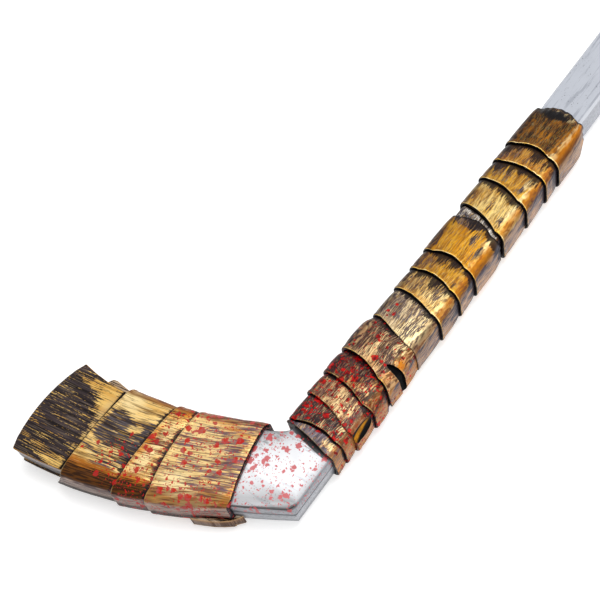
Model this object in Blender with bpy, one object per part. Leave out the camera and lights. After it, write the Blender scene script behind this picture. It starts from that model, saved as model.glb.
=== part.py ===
"""A weathered hockey stick bound with overlapping straps.

Drawing frame, in millimetres until the last step: the stick lies on its back.
+X runs up the shaft from the heel corner, +Y points to the toe and +Z out of the
front face. The back of the bare stick is at z = 0. The parent empty then centres
the finished stick over the origin, with its lowest strap on z = 0, in metres.
"""

import math
from collections import namedtuple

import bmesh
import bpy
from mathutils import Matrix, Vector

MM = 0.001

# Bare stick
WIDTH = 30.0
THICK = 18.5
LENGTH = 880.0
HOSEL_END = 104.0
GAP = 0.3
BLADE_GAP = 0.5
EDGE = 1.5

# The shaft is a little slimmer where the binding sits
SEAT_END = 319.0
SEAT_STEP = 0.8
SEAT_CUT = 0.3

# Shaft bore, the tenon that joins blade and shaft, and the butt plug
BORE_WIDTH = 24.0
BORE_THICK = 12.5
BORE_CUT = 1.0
FIT_CUT = 1.3
NOSE_STEP = 4.0
TENON_START = 46.0
TENON_END = 172.0
PLUG_RIM = 5.0
PLUG_SPIGOT = 26.0
PLUG_ROUND = 1.8

# Blade outline: the lower edge is a parabola, and so is the upper one up to the flare
LOWER_SLOPE = -0.60
LOWER_RISE = 0.00142
UPPER_START = 52.1
UPPER_SLOPE = -0.566
UPPER_RISE = 0.00152
FLARE_START = 120.0
FLARE_RISE = 0.00223
TOE_Y = 170.5
TOE_BULGE = 6.0
WEB_Y = 41.0
WEB_END_X = 40.0
HEEL_CUT = 4.2
CORNER_CUT = 0.4
BACK_DRAFT = 0.5
BLADE_BEVEL = 0.7
CUT_MARGIN = 10.0

# Toe plates
PLATE_THICK = 2.2
PLATE_START = 120.0
PLATE_LIP = 0.6
PLATE_BEVEL = 0.55

# Straps
STRAP_LAP = 6.0
STRAP_ROUND = 5.5
CORE_ROUND = 0.6
STRAP_CROWN = 0.9
LAP_CLEARANCE = 0.5
STRAP_THIN = 1.0
LIP_LENGTH = 1.0
LIFT_STEP = 0.7
CORNER_POINTS = 4
FACE_POINTS = 4
SIDE_POINTS = 2
CURVE_STEPS = 4

# How high the outer surface is at each ring, from the tucked height (0) to the lip's (1).
# A ring with four values gives the blade side, the far side and the face near each.
TAPERED = (0.70, 1.0, 0.78, 0.48, 0.10, 0.0)
BULGED = (0.62, 1.0, 1.04, 0.80, 0.10, 0.0)
GATHERED = (0.70, 1.0, (0.85, 1.0, 1.0, 1.0), (0.42, 0.75, 0.85, 0.85), (0.10, 0.15, 0.32, 0.32), 0.0)
OPEN_ENDED = (0.62, 1.0, (1.0, 0.72, 1.0, 1.0), (1.0, 0.30, 0.94, 0.94), (0.92, 0.22, 0.90, 0.90),
              (0.6, 0.05, 0.6, 0.6))
FLAT = (0.0, 0.0, 0.0, 0.0, 0.0, 0.0)

# An edge is given at the blade side, middle and far side of the faces, and slip is how
# much further on it lies down the far side
Edge = namedtuple("Edge", "near middle far slip", defaults=(0.0,))
Turn = namedtuple("Turn", "name lip height tuck weights")

# Shaft straps from the heel up. Heights are those at the blade side, at the far side, and
# on the faces next to each.
SHAFT_TURNS = (
    Turn("shaft_strap_00_fold", Edge(40.8, 38.4, 35.0), (6.0, 2.6, 4.2, 4.2), (4.6, 1.4, 2.4, 2.4), TAPERED),
    Turn("shaft_strap_01", Edge(43.2, 46.4, 44.2), (6.4, 3.2, 4.4, 3.9), (5.2, 1.8, 2.8, 2.1), TAPERED),
    Turn("shaft_strap_02", Edge(62.0, 59.4, 53.6), (7.0, 4.6, 4.8, 3.2), (5.4, 3.2, 2.8, 2.6), TAPERED),
    Turn("shaft_strap_03", Edge(78.2, 76.4, 71.4), (7.6, 5.4, 5.0, 4.6), (4.8, 2.6, 2.4, 2.4), BULGED),
    Turn("shaft_strap_04", Edge(96.8, 95.0, 89.6, -3.2), (7.6, 5.0, 5.4, 5.0), (2.6, 3.4, 2.6, 2.9), BULGED),
    Turn("shaft_strap_05", Edge(125.4, 121.0, 115.6), (4.4, 5.0, 4.4, 4.2), (2.8, 3.9, 2.8, 2.8), TAPERED),
    Turn("shaft_strap_06", Edge(148.0, 146.2, 140.2), (4.6, 5.9, 4.6, 4.6), (2.6, 4.2, 2.8, 2.8), TAPERED),
    Turn("shaft_strap_07", Edge(165.0, 165.8, 160.2), (4.4, 6.0, 4.6, 4.6), (3.0, 4.2, 2.8, 2.8), TAPERED),
    Turn("shaft_strap_08", Edge(180.8, 183.0, 177.6), (4.8, 6.2, 4.8, 4.8), (2.4, 4.6, 2.8, 2.8), GATHERED),
    Turn("shaft_strap_09", Edge(221.6, 218.4, 210.0), (3.8, 6.0, 4.2, 4.2), (2.6, 4.6, 2.6, 2.6), TAPERED),
    Turn("shaft_strap_10", Edge(244.6, 243.4, 236.6), (4.4, 6.6, 4.4, 4.4), (2.6, 4.8, 2.6, 2.6), TAPERED),
    Turn("shaft_strap_11", Edge(261.4, 263.0, 259.6), (4.4, 6.8, 4.4, 4.4), (2.8, 4.8, 2.8, 2.8), TAPERED),
    Turn("shaft_strap_12_top", Edge(277.6, 280.2, 275.0), (4.8, 6.8, 4.8, 4.8), (1.2, 2.0, 1.4, 1.4), GATHERED),
)
UNDER_TURN = Turn(
    "shaft_strap_08_under", Edge(205.0, 206.0, 200.0), (1.0, 3.0, 1.3, 1.3), (1.0, 3.0, 1.3, 1.3), FLAT
)
GATHERED_TURN = 8
GATHER_END = Edge(211.0, 213.4, 207.6)
GATHER_LAP = 9.0
TOP_END = Edge(313.0, 317.2, 312.6)
DARK_TURNS = 5

# Blade straps from the toe in. Stations run towards the heel, so they are minus y
BLADE_TURNS = (
    Turn("blade_strap_1", Edge(-131.4, -132.8, -132.0), (5.4, 4.8, 3.8, 3.8), (3.2, 4.2, 2.4, 2.4), TAPERED),
    Turn("blade_strap_2", Edge(-97.8, -98.8, -97.2), (5.0, 6.2, 4.0, 4.0), (3.4, 4.4, 2.6, 2.6), TAPERED),
    Turn("blade_strap_3", Edge(-83.6, -82.4, -76.6), (5.2, 6.2, 4.4, 4.4), (2.6, 2.4, 2.4, 2.4), OPEN_ENDED),
)
BLADE_FIRST_BACK = Edge(-133.4, -136.6, -140.0)
BLADE_END = Edge(-43.2, -38.6, -31.6)
PLATE_LAP = 21.0
PLATE_RISE = 0.9

# The strap's loose ends: Y, how far it stands off and how thick it is
TOE_TAB = ((134.8, 0.9, 2.6), (141.0, 0.9, 3.6), (146.5, 0.9, 4.4), (149.6, 0.9, 3.8), (151.4, 0.9, 1.0))
TOE_TAB_Z = (3.2, 14.6)
TAIL = ((27.0, 0.6, 0.9), (30.9, 0.6, 3.2), (31.1, 3.9, 1.0), (36.0, 3.9, 2.1), (41.0, 4.1, 2.5),
        (47.0, 4.7, 1.9), (53.0, 5.6, 0.9))
TAIL_Z = (-3.0, 6.0)
LOOSE_BEVEL = 0.4

# An egg-shaped hollow in the far side of a turn: centre, half sizes and tilt
DIMPLED_TURN = 2
DIMPLE = ((60.4, -5.2, 16.5), (11.0, 2.9, 6.4), 8.0)

# A slot that starts on a turn's front face, goes round the far corner and thins out down
# the far side. SLOT_REACH is how far it goes on each way from its widest place, SLOT_Z.
SLOTTED_TURN = 4
SLOT_X = 99.6
SLOT_Z = 17.0
SLOT_HALF = 4.1
SLOT_DEEP = 3.4
SLOT_REACH = (12.0, 27.0)


def lower_edge(y):
    """X of the bare blade's lower edge."""
    return LOWER_SLOPE * y + LOWER_RISE * y * y


def upper_edge(y):
    """X of the bare blade's upper edge."""
    flare = max(0.0, y - FLARE_START)
    return UPPER_START + UPPER_SLOPE * y + UPPER_RISE * y * y + FLARE_RISE * flare * flare


def material(name, colour, roughness, metallic):
    made = bpy.data.materials.new(name)
    made.use_nodes = True
    shader = made.node_tree.nodes["Principled BSDF"]
    shader.inputs["Base Color"].default_value = (*colour, 1.0)
    shader.inputs["Roughness"].default_value = roughness
    shader.inputs["Metallic"].default_value = metallic
    made.diffuse_color = (*colour, 1.0)
    return made


def piece(name, bm, finish, smooth_angle=35.0):
    """Turns a mesh drawn in millimetres into a named object in metres."""
    bmesh.ops.recalc_face_normals(bm, faces=bm.faces)
    if bm.calc_volume(signed=True) < 0:
        bmesh.ops.reverse_faces(bm, faces=bm.faces)
    bmesh.ops.transform(bm, matrix=Matrix.Scale(MM, 4), verts=bm.verts)
    mesh = bpy.data.meshes.new(name)
    bm.to_mesh(mesh)
    bm.free()
    mesh.materials.append(finish)
    mesh.shade_smooth()
    mesh.set_sharp_from_angle(angle=math.radians(smooth_angle))
    made = bpy.data.objects.new(name, mesh)
    bpy.context.collection.objects.link(made)
    return made


def cutter(name, bm):
    made = piece(name, bm, None)
    made.hide_render = True
    made.display_type = "WIRE"
    return made


def boolean(target, tool, operation):
    change = target.modifiers.new(operation.title(), "BOOLEAN")
    change.operation = operation
    change.solver = "EXACT"
    change.object = tool


def bevel(target, width, segments):
    change = target.modifiers.new("Edges", "BEVEL")
    change.width = width * MM
    change.segments = segments
    change.limit_method = "ANGLE"
    change.angle_limit = math.radians(40)
    change.harden_normals = False


def box(low, high):
    bm = bmesh.new()
    bmesh.ops.create_cube(bm, size=1.0)
    size = Vector(high) - Vector(low)
    middle = (Vector(high) + Vector(low)) / 2
    bmesh.ops.transform(bm, matrix=Matrix.Translation(middle) @ Matrix.Diagonal((*size, 1.0)), verts=bm.verts)
    return bm


def slab(low_outline, high_outline, z_low, z_high):
    """A plate whose outline may differ between its two faces."""
    bm = bmesh.new()
    low = [bm.verts.new((x, y, z_low)) for x, y in low_outline]
    high = [bm.verts.new((x, y, z_high)) for x, y in high_outline]
    bm.faces.new(reversed(low))
    bm.faces.new(high)
    for i in range(len(low)):
        j = (i + 1) % len(low)
        bm.faces.new((low[i], low[j], high[j], high[i]))
    return bm


def toe_arc(low_x, high_x, y, count):
    """Points along the bulged toe, from the lower corner to the upper one."""
    points = []
    for i in range(count + 1):
        t = i / count
        x = low_x + (high_x - low_x) * t
        points.append((x, y + TOE_BULGE * 4 * t * (1 - t)))
    return points


def web_curve(count):
    """The fillet where the blade's upper edge turns up into the shaft."""
    start = Vector((upper_edge(WEB_Y), WEB_Y))
    corner = Vector((upper_edge(WIDTH), WIDTH))
    end = Vector((WEB_END_X, WIDTH))
    points = []
    for i in range(count + 1):
        t = i / count
        p = start * (1 - t) ** 2 + corner * 2 * t * (1 - t) + end * t * t
        points.append((p.x, p.y))
    return points


def blade_outline(heel_cut, inset=0.0):
    """The blade, its heel and the hosel, anticlockwise from the heel corner."""
    lower_count = 14
    upper_count = 12
    lower = []
    for i in range(1, lower_count + 1):
        y = TOE_Y * i / lower_count
        lower.append((lower_edge(y) + inset, y))
    upper = []
    for i in range(1, upper_count):
        y = TOE_Y + (WEB_Y - TOE_Y) * i / upper_count
        upper.append((upper_edge(y) - inset, y))
    heel = [(heel_cut + 0.1, inset), (LOWER_SLOPE * heel_cut * 0.62 + inset, heel_cut * 0.62)]
    toe = toe_arc(lower_edge(TOE_Y) + inset, upper_edge(TOE_Y) - inset, TOE_Y - inset, 8)[1:]
    web = [(x, y - inset) for x, y in web_curve(4)]
    hosel = [(HOSEL_END, WIDTH - inset), (HOSEL_END, inset)]
    return list(reversed(heel + lower + toe + upper + web + hosel))


def plate_outline():
    """The toe plate, a little proud of the blade's edge."""
    count = 5
    lower = []
    upper = []
    for i in range(count + 1):
        y = PLATE_START + (TOE_Y - PLATE_START) * i / count
        lower.append((lower_edge(y) - PLATE_LIP, y))
        upper.append((upper_edge(y) + PLATE_LIP, y))
    toe = toe_arc(lower[-1][0], upper[-1][0], TOE_Y + PLATE_LIP, 10)[1:-1]
    return list(reversed(lower + toe + list(reversed(upper))))


def blade_half(name, z_low, z_high, front, finish):
    """One half of the moulded blade, with its share of the tenon's pocket and a toe plate's seat."""
    parting = blade_outline(CORNER_CUT)
    face = blade_outline(HEEL_CUT if front else CORNER_CUT)
    inset = blade_outline(CORNER_CUT, BACK_DRAFT)
    outlines = (parting, face) if front else (inset, parting)
    half = piece(name, slab(*outlines, z_low, z_high), finish)
    bevel(half, BLADE_BEVEL, 2)
    pocket_low = (TENON_START - GAP, (WIDTH - BORE_WIDTH) / 2, (THICK - BORE_THICK) / 2)
    pocket_high = (HOSEL_END + CUT_MARGIN, (WIDTH + BORE_WIDTH) / 2, (THICK + BORE_THICK) / 2)
    pocket = cutter(name + "_pocket", box(pocket_low, pocket_high))
    boolean(half, pocket, "DIFFERENCE")
    seat_z = (THICK - PLATE_THICK - GAP, THICK + CUT_MARGIN) if front else (-CUT_MARGIN, PLATE_THICK + GAP)
    seat_low = (lower_edge(TOE_Y) - CUT_MARGIN, PLATE_START - GAP, seat_z[0])
    seat_high = (upper_edge(PLATE_START) + CUT_MARGIN, TOE_Y + TOE_BULGE + CUT_MARGIN, seat_z[1])
    seat = cutter(name + "_seat", box(seat_low, seat_high))
    boolean(half, seat, "DIFFERENCE")
    return [half, pocket, seat]


def toe_plate(name, z_low, z_high, finish):
    outline = plate_outline()
    plate = piece(name, slab(outline, outline, z_low, z_high), finish)
    bevel(plate, PLATE_BEVEL, 2)
    return plate


def rectangle(width, thick, cut):
    """A rectangle with cut corners, centred on the shaft's axis, as (y, z)."""
    cy = WIDTH / 2
    cz = THICK / 2
    hw = width / 2
    ht = thick / 2
    corners = []
    for sy, sz in ((1, 1), (-1, 1), (-1, -1), (1, -1)):
        near = (cy + sy * (hw - cut), cz + sz * ht)
        far = (cy + sy * hw, cz + sz * (ht - cut))
        corners += [near, far] if sy * sz < 0 else [far, near]
    return corners


def ring(bm, points, x):
    return [bm.verts.new((x, y, z)) for y, z in points]


def loft(bm, loops, closed):
    """Joins loops of equally many points, and the last one back to the first if closed."""
    pairs = list(zip(loops, loops[1:]))
    if closed:
        pairs.append((loops[-1], loops[0]))
    else:
        bm.faces.new(loops[0])
        bm.faces.new(loops[-1])
    for first, second in pairs:
        for i in range(len(first)):
            j = (i + 1) % len(first)
            bm.faces.new((first[i], first[j], second[j], second[i]))


def shaft(finish):
    """A hollow box section with cut edges, open at both ends and slimmer under the binding."""
    bm = bmesh.new()
    outer = rectangle(WIDTH, THICK, EDGE)
    seat = rectangle(WIDTH - SEAT_CUT, THICK - SEAT_CUT, EDGE)
    bore = rectangle(BORE_WIDTH, BORE_THICK, BORE_CUT)
    start = HOSEL_END + GAP
    loops = [
        ring(bm, seat, start),
        ring(bm, seat, SEAT_END - SEAT_STEP),
        ring(bm, outer, SEAT_END),
        ring(bm, outer, LENGTH),
        ring(bm, bore, LENGTH),
        ring(bm, bore, start),
    ]
    loft(bm, loops, True)
    return piece("shaft", bm, finish)


def tenon(finish):
    """The bar that fills the hosel's pocket and runs up inside the shaft."""
    play = 2 * GAP
    bm = bmesh.new()
    section = rectangle(BORE_WIDTH - play, BORE_THICK - play, FIT_CUT)
    nose = rectangle(BORE_WIDTH - play - NOSE_STEP, BORE_THICK - play - NOSE_STEP, BORE_CUT)
    loops = [
        ring(bm, section, TENON_START),
        ring(bm, section, TENON_END - NOSE_STEP),
        ring(bm, nose, TENON_END),
    ]
    loft(bm, loops, False)
    return piece("tenon", bm, finish)


def butt_plug(finish):
    """A cap with a rounded rim on a spigot that fills the end of the bore."""
    bm = bmesh.new()
    play = 2 * GAP
    lead = NOSE_STEP / 2
    spigot = rectangle(BORE_WIDTH - play, BORE_THICK - play, FIT_CUT)
    nose = rectangle(BORE_WIDTH - play - lead, BORE_THICK - play - lead, FIT_CUT)
    stages = [
        (nose, LENGTH - PLUG_SPIGOT),
        (spigot, LENGTH - PLUG_SPIGOT + lead),
        (spigot, LENGTH + GAP),
        (rectangle(WIDTH, THICK, EDGE), LENGTH + GAP),
    ]
    for degrees in (0, 30, 60, 90):
        angle = math.radians(degrees)
        inset = 2 * PLUG_ROUND * (1 - math.cos(angle))
        x = LENGTH + PLUG_RIM - PLUG_ROUND * (1 - math.sin(angle))
        stages.append((rectangle(WIDTH - inset, THICK - inset, EDGE), x))
    loops = [ring(bm, outline, x) for outline, x in stages]
    loft(bm, loops, False)
    return piece("butt_plug", bm, finish)


def strap_section():
    """Points round a rounded rectangle: place on the inner rectangle and outward direction."""
    points = []
    corners = ((1, 1, 0), (-1, 1, 90), (-1, -1, 180), (1, -1, 270))
    counts = (FACE_POINTS, SIDE_POINTS, FACE_POINTS, SIDE_POINTS)
    for index, (u, v, start) in enumerate(corners):
        for i in range(CORNER_POINTS):
            angle = math.radians(start + 90 * i / (CORNER_POINTS - 1))
            points.append((u, v, math.cos(angle), math.sin(angle)))
        next_u, next_v, next_start = corners[(index + 1) % 4]
        angle = math.radians(next_start)
        for i in range(1, counts[index] + 1):
            t = i / (counts[index] + 1)
            points.append((u + (next_u - u) * t, v + (next_v - v) * t, math.cos(angle), math.sin(angle)))
    return points


def across(edge, u):
    """Station of a strap's edge at u, from -1 at the far side to 1 at the blade side."""
    mean = (edge.near + edge.far) / 2
    return mean + (edge.near - edge.far) / 2 * u + (edge.middle - mean) * (1 - u * u)


def stations(section, edge, back_edge, hidden=False):
    """Where the points of a section lie along the stick, for an edge given on both faces.

    The slip comes all at once at the far corners, or evenly over the faces on a hidden edge.
    """
    found = []
    for u, v, du, _ in section:
        share = (1 + v) / 2
        slip = edge.slip * ((1 - u) / 2 if hidden else -min(0.0, du)) ** 2
        found.append(across(edge, u) * share + across(back_edge, u) * (1 - share) + slip)
    return found


class Core:
    """The bare stick under a strap: where a station lies and how wide the stick is there."""

    def __init__(self, on_blade):
        self.on_blade = on_blade

    def sides(self, s):
        if self.on_blade:
            return lower_edge(-s), upper_edge(-s)
        return 0.0, WIDTH

    def point(self, s, side, z):
        return (side, -s, z) if self.on_blade else (s, side, z)


def strap_ring(bm, core, section, spots, heights):
    """One loop round the stick, spots giving each point's station and heights its offsets."""
    near_height, far_height, near_face, far_face = heights
    verts = []
    for (u, v, du, dv), s in zip(section, spots):
        face_height = (near_face + far_face) / 2 + (near_face - far_face) / 2 * u
        low, high = core.sides(s)
        low -= far_height
        high += near_height
        half = (high - low) / 2
        half_thick = THICK / 2 + face_height
        bulge = min(STRAP_ROUND, CORE_ROUND + min(heights))
        side = (low + high) / 2 + u * (half - bulge) + du * bulge
        crown = STRAP_CROWN * (1 - u * u) * min(1.0, face_height / 4)
        z = THICK / 2 + v * (half_thick - bulge) + dv * bulge + math.copysign(crown, v) * abs(dv)
        verts.append(bm.verts.new(core.point(s, side, z)))
    return verts


def blended(low, high, weight):
    """Heights between two sets of four, by one weight or by four."""
    weights = weight if isinstance(weight, tuple) else (weight,) * len(low)
    return tuple(a + (b - a) * w for a, b, w in zip(low, high, weights))


def raised(heights, by):
    return tuple(height + by for height in heights)


def strap(turn, on_blade, end, finish, below=None, lap_below=STRAP_LAP, lap_above=STRAP_LAP,
          lip_back=None, under=None, under_lap=0.0):
    """One turn of strap: a sleeve whose lip rides over the turn below and whose end tucks away.

    end is where the next lip covers it. below gives the tucked heights of the turn that
    runs on under the lip for lap_below, and under those of one that this turn's own end
    rides over, for under_lap. lap_above is how far this turn runs on under the next.
    """
    core = Core(on_blade)
    section = strap_section()
    lows = stations(section, turn.lip, lip_back or turn.lip)
    ends = stations(section, end, end)
    shown = [b - a for a, b in zip(lows, ends)]
    last = [b + lap_above for b in stations(section, end, end, hidden=True)]
    clear = BLADE_GAP if on_blade else GAP
    flat = (clear,) * 4
    tuck = raised(under, LAP_CLEARANCE + STRAP_THIN) if under else turn.tuck
    bm = bmesh.new()
    loops = []

    def add(spots, heights):
        loops.append(strap_ring(bm, core, section, spots, heights))

    outer_spots = (
        lows,
        [a + min(LIP_LENGTH, 0.14 * d) for a, d in zip(lows, shown)],
        [a + 0.45 * d for a, d in zip(lows, shown)],
        [a + 0.80 * d for a, d in zip(lows, shown)],
        [b - min(LIP_LENGTH, 0.1 * d) for b, d in zip(ends, shown)],
        last,
    )
    for spots, weight in zip(outer_spots, turn.weights):
        add(spots, blended(tuck, turn.height, weight))
    if under:
        lifted = raised(under, LAP_CLEARANCE)
        add(last, lifted)
        add([b - under_lap for b in ends], lifted)
        last = [b - under_lap - LIFT_STEP for b in ends]
    add(last, flat)
    covered = [a + lap_below for a in stations(section, turn.lip, lip_back or turn.lip, hidden=True)]
    inner = [a + 2 * LIFT_STEP for a in covered] if below else lows
    if on_blade:
        for step in range(1, CURVE_STEPS):
            add([b + (a - b) * step / CURVE_STEPS for a, b in zip(inner, last)], flat)
    add(inner, flat)
    if below:
        lifted = raised(below, LAP_CLEARANCE)
        add([a + LIFT_STEP for a in covered], lifted)
        add(lows, lifted)
    loft(bm, loops, True)
    return piece(turn.name, bm, finish, 50.0)


def shaft_straps(dark, gold):
    """The turns up the shaft, each lip over the turn below it."""
    made = []
    below = None
    for index, turn in enumerate(SHAFT_TURNS):
        finish = dark if index < DARK_TURNS else gold
        if index == GATHERED_TURN:
            made.append(strap(turn, False, GATHER_END, finish, below, lap_above=0.0,
                              under=UNDER_TURN.tuck, under_lap=GATHER_LAP))
            made.append(strap(UNDER_TURN, False, SHAFT_TURNS[index + 1].lip, dark))
            below = UNDER_TURN.tuck
        elif index == len(SHAFT_TURNS) - 1:
            made.append(strap(turn, False, TOP_END, finish, below, lap_above=0.0))
        else:
            made.append(strap(turn, False, SHAFT_TURNS[index + 1].lip, finish, below))
            below = turn.tuck
    return made


def blade_straps(finish):
    """The turns along the blade, each lip over the one nearer the toe."""
    first, second, third = BLADE_TURNS
    plates = (PLATE_RISE, PLATE_RISE, 0.0, 0.0)
    return [
        strap(first, True, second.lip, finish, plates, lap_below=PLATE_LAP, lip_back=BLADE_FIRST_BACK),
        strap(second, True, third.lip, finish, first.tuck),
        strap(third, True, BLADE_END, finish, second.tuck, lap_above=0.0),
    ]


def loose_end(name, stations, edge, outward, z_range, finish):
    """A flat end of strap lying along one edge of the blade."""
    inner = [(edge(y) + outward * off, y) for y, off, _ in stations]
    outer = [(edge(y) + outward * (off + thick), y) for y, off, thick in stations]
    outline = inner + list(reversed(outer))
    if outward < 0:
        outline.reverse()
    made = piece(name, slab(outline, outline, *z_range), finish)
    bevel(made, LOOSE_BEVEL, 2)
    return made


def hollow(target, name, centre, sizes, tilt):
    """Sinks an egg-shaped hollow into a turn's far side."""
    bm = bmesh.new()
    bmesh.ops.create_uvsphere(bm, u_segments=20, v_segments=12, radius=1.0)
    turn = Matrix.Rotation(math.radians(tilt), 4, "Y")
    place = Matrix.Translation(centre) @ turn @ Matrix.Diagonal((*sizes, 1.0))
    bmesh.ops.transform(bm, matrix=place, verts=bm.verts)
    tool = cutter(name, bm)
    boolean(target, tool, "DIFFERENCE")
    return tool


def slot(target, name, heights):
    """Sinks a steep-walled slot that bends round the far corner of a turn with these heights."""
    radius = STRAP_ROUND
    corner = (radius - heights[1], THICK + heights[3] - radius)
    bm = bmesh.new()
    bmesh.ops.create_uvsphere(bm, u_segments=20, v_segments=24, radius=1.0)
    for vert in bm.verts:
        x, deep, along = vert.co
        along = SLOT_Z + along * SLOT_REACH[0 if along > 0 else 1]
        out = radius - math.copysign(math.sqrt(abs(deep)), deep) * SLOT_DEEP
        angle = min(max(0.0, (along - corner[1]) / radius), math.pi / 2)
        rest = along - corner[1] - radius * angle
        y = corner[0] - out * math.cos(angle) + max(0.0, rest)
        z = corner[1] + out * math.sin(angle) + min(0.0, rest)
        vert.co = (SLOT_X + x * SLOT_HALF, y, z)
    tool = cutter(name, bm)
    boolean(target, tool, "DIFFERENCE")
    return tool


def main():
    for old in list(bpy.data.objects):
        bpy.data.objects.remove(old)
    silver = material("silver_paint", (0.55, 0.57, 0.60), 0.38, 0.6)
    gold = material("gold_strap", (0.72, 0.45, 0.12), 0.36, 0.3)
    dark = material("dark_strap", (0.42, 0.30, 0.16), 0.42, 0.25)
    wood = material("tenon_core", (0.55, 0.42, 0.28), 0.7, 0.0)
    plastic = material("butt_plastic", (0.06, 0.06, 0.065), 0.5, 0.0)

    parts = [shaft(silver), tenon(wood), butt_plug(plastic)]
    parts += blade_half("blade_front_half", THICK / 2 + GAP / 2, THICK, True, silver)
    parts += blade_half("blade_back_half", 0.0, THICK / 2 - GAP / 2, False, silver)
    parts.append(toe_plate("toe_front_plate", THICK - PLATE_THICK, THICK, gold))
    parts.append(toe_plate("toe_back_plate", 0.0, PLATE_THICK, gold))
    turns = shaft_straps(dark, gold)
    parts += turns
    parts.append(slot(turns[SLOTTED_TURN], "slot_cutter", SHAFT_TURNS[SLOTTED_TURN].height))
    parts.append(hollow(turns[DIMPLED_TURN], "dimple_cutter", *DIMPLE))
    parts += blade_straps(gold)
    parts.append(loose_end("toe_strap_tab", TOE_TAB, upper_edge, 1, TOE_TAB_Z, dark))
    parts.append(loose_end("blade_strap_tail", TAIL, lower_edge, -1, TAIL_Z, dark))

    stick = bpy.data.objects.new("hockey_stick", None)
    bpy.context.collection.objects.link(stick)
    for part in parts:
        part.parent = stick
    bpy.context.view_layer.update()
    solids = [part for part in parts if not part.hide_render]
    corners = [part.matrix_world @ Vector(corner) for part in solids for corner in part.bound_box]
    low = Vector([min(c[axis] for c in corners) for axis in range(3)])
    high = Vector([max(c[axis] for c in corners) for axis in range(3)])
    stick.location = (-(low.x + high.x) / 2, -(low.y + high.y) / 2, -low.z)
    bpy.context.view_layer.update()


main()
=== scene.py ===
"""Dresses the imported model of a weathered, strap-bound hockey stick.

The drawing frame that the sizes below use is in millimetres: +X runs up the shaft from
the heel corner, +Y points to the toe and +Z out of the front face. The back of the bare
stick is at z = 0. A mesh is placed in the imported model's own frame, in metres.
"""

import logging
import math
from abc import ABC, abstractmethod
from collections.abc import Callable
from dataclasses import dataclass, replace
from enum import Enum
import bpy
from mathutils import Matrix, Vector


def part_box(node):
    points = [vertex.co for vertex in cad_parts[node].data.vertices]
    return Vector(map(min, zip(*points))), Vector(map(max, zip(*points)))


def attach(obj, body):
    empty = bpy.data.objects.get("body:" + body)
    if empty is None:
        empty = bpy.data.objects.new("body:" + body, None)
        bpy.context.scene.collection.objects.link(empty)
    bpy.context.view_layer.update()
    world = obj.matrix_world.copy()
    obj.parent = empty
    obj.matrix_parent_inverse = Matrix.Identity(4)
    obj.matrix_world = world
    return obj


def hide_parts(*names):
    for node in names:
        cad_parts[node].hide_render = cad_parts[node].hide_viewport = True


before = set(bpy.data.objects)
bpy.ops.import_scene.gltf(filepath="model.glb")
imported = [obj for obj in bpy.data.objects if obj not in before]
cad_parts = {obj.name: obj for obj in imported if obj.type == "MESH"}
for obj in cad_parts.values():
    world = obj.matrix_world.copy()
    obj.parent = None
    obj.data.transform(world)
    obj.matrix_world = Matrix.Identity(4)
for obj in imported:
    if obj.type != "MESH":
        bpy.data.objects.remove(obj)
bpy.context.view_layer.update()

from types import SimpleNamespace
from typing import NamedTuple

import bpy
from mathutils import Matrix, Quaternion, Vector, noise

LOG = logging.getLogger("hockey_stick")

MM = 0.001
NOWHERE = 1000.0  # millimetres, beyond the stick
MERGE_REACH = 1e-6
FLAT_LIMIT = math.radians(0.5)
HARD_CREASE = math.radians(32)
HOLLOW_CREASE = math.radians(38)
UNDER_LIP, INSIDE, PAST_TUCK = -0.5, 9.0, -1.0  # a ring's distances where no lip or tuck is near, in millimetres
BROAD_WAVES, FINE_WAVES, FOLD_WAVES = (17.0, 6.5), (6.0, 2.4), (16.0, 3.4)  # millimetres along and round a strap
FINE_SHARE, FOLD_SHIFT = 0.35, 0.15
LIP_BEAD, LIP_GROOVE = (0.22, 1.3, 0.9), (0.16, 3.4, 1.2)  # height, distance from the lip and width in millimetres
Triple = tuple[float, float, float]
Colour = Triple
Heights = tuple[float, float, float, float]
Rows = tuple[tuple[float, ...], ...]


def paint(red: int, green: int, blue: int) -> Colour:
    """Turns a colour as a paint chart gives it, 0 to 255, into scene-linear values.

    Args:
        red: Red from 0 to 255.
        green: Green from 0 to 255.
        blue: Blue from 0 to 255.

    Returns:
        The same colour as linear red, green and blue.
    """
    shares = (part / 255 for part in (red, green, blue))
    return tuple(share / 12.92 if share <= 0.04045 else ((share + 0.055) / 1.055) ** 2.4 for share in shares)


WHITE: Colour = (1.0, 1.0, 1.0)


def drop(value: float, low: float, high: float) -> float:
    """Rises smoothly from 0 at low to 1 at high.

    Args:
        value: Where to look.
        low: Where the rise starts.
        high: Where it ends.

    Returns:
        The share of the rise, from 0 to 1.
    """
    t = min(1.0, max(0.0, (value - low) / (high - low)))
    return t * t * (3 - 2 * t)


def bell(value: float, height: float, middle: float, width: float) -> float:
    """Gives a bell curve of this height, middle and width."""
    return height * math.exp(-((value - middle) / width) ** 2)


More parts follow.
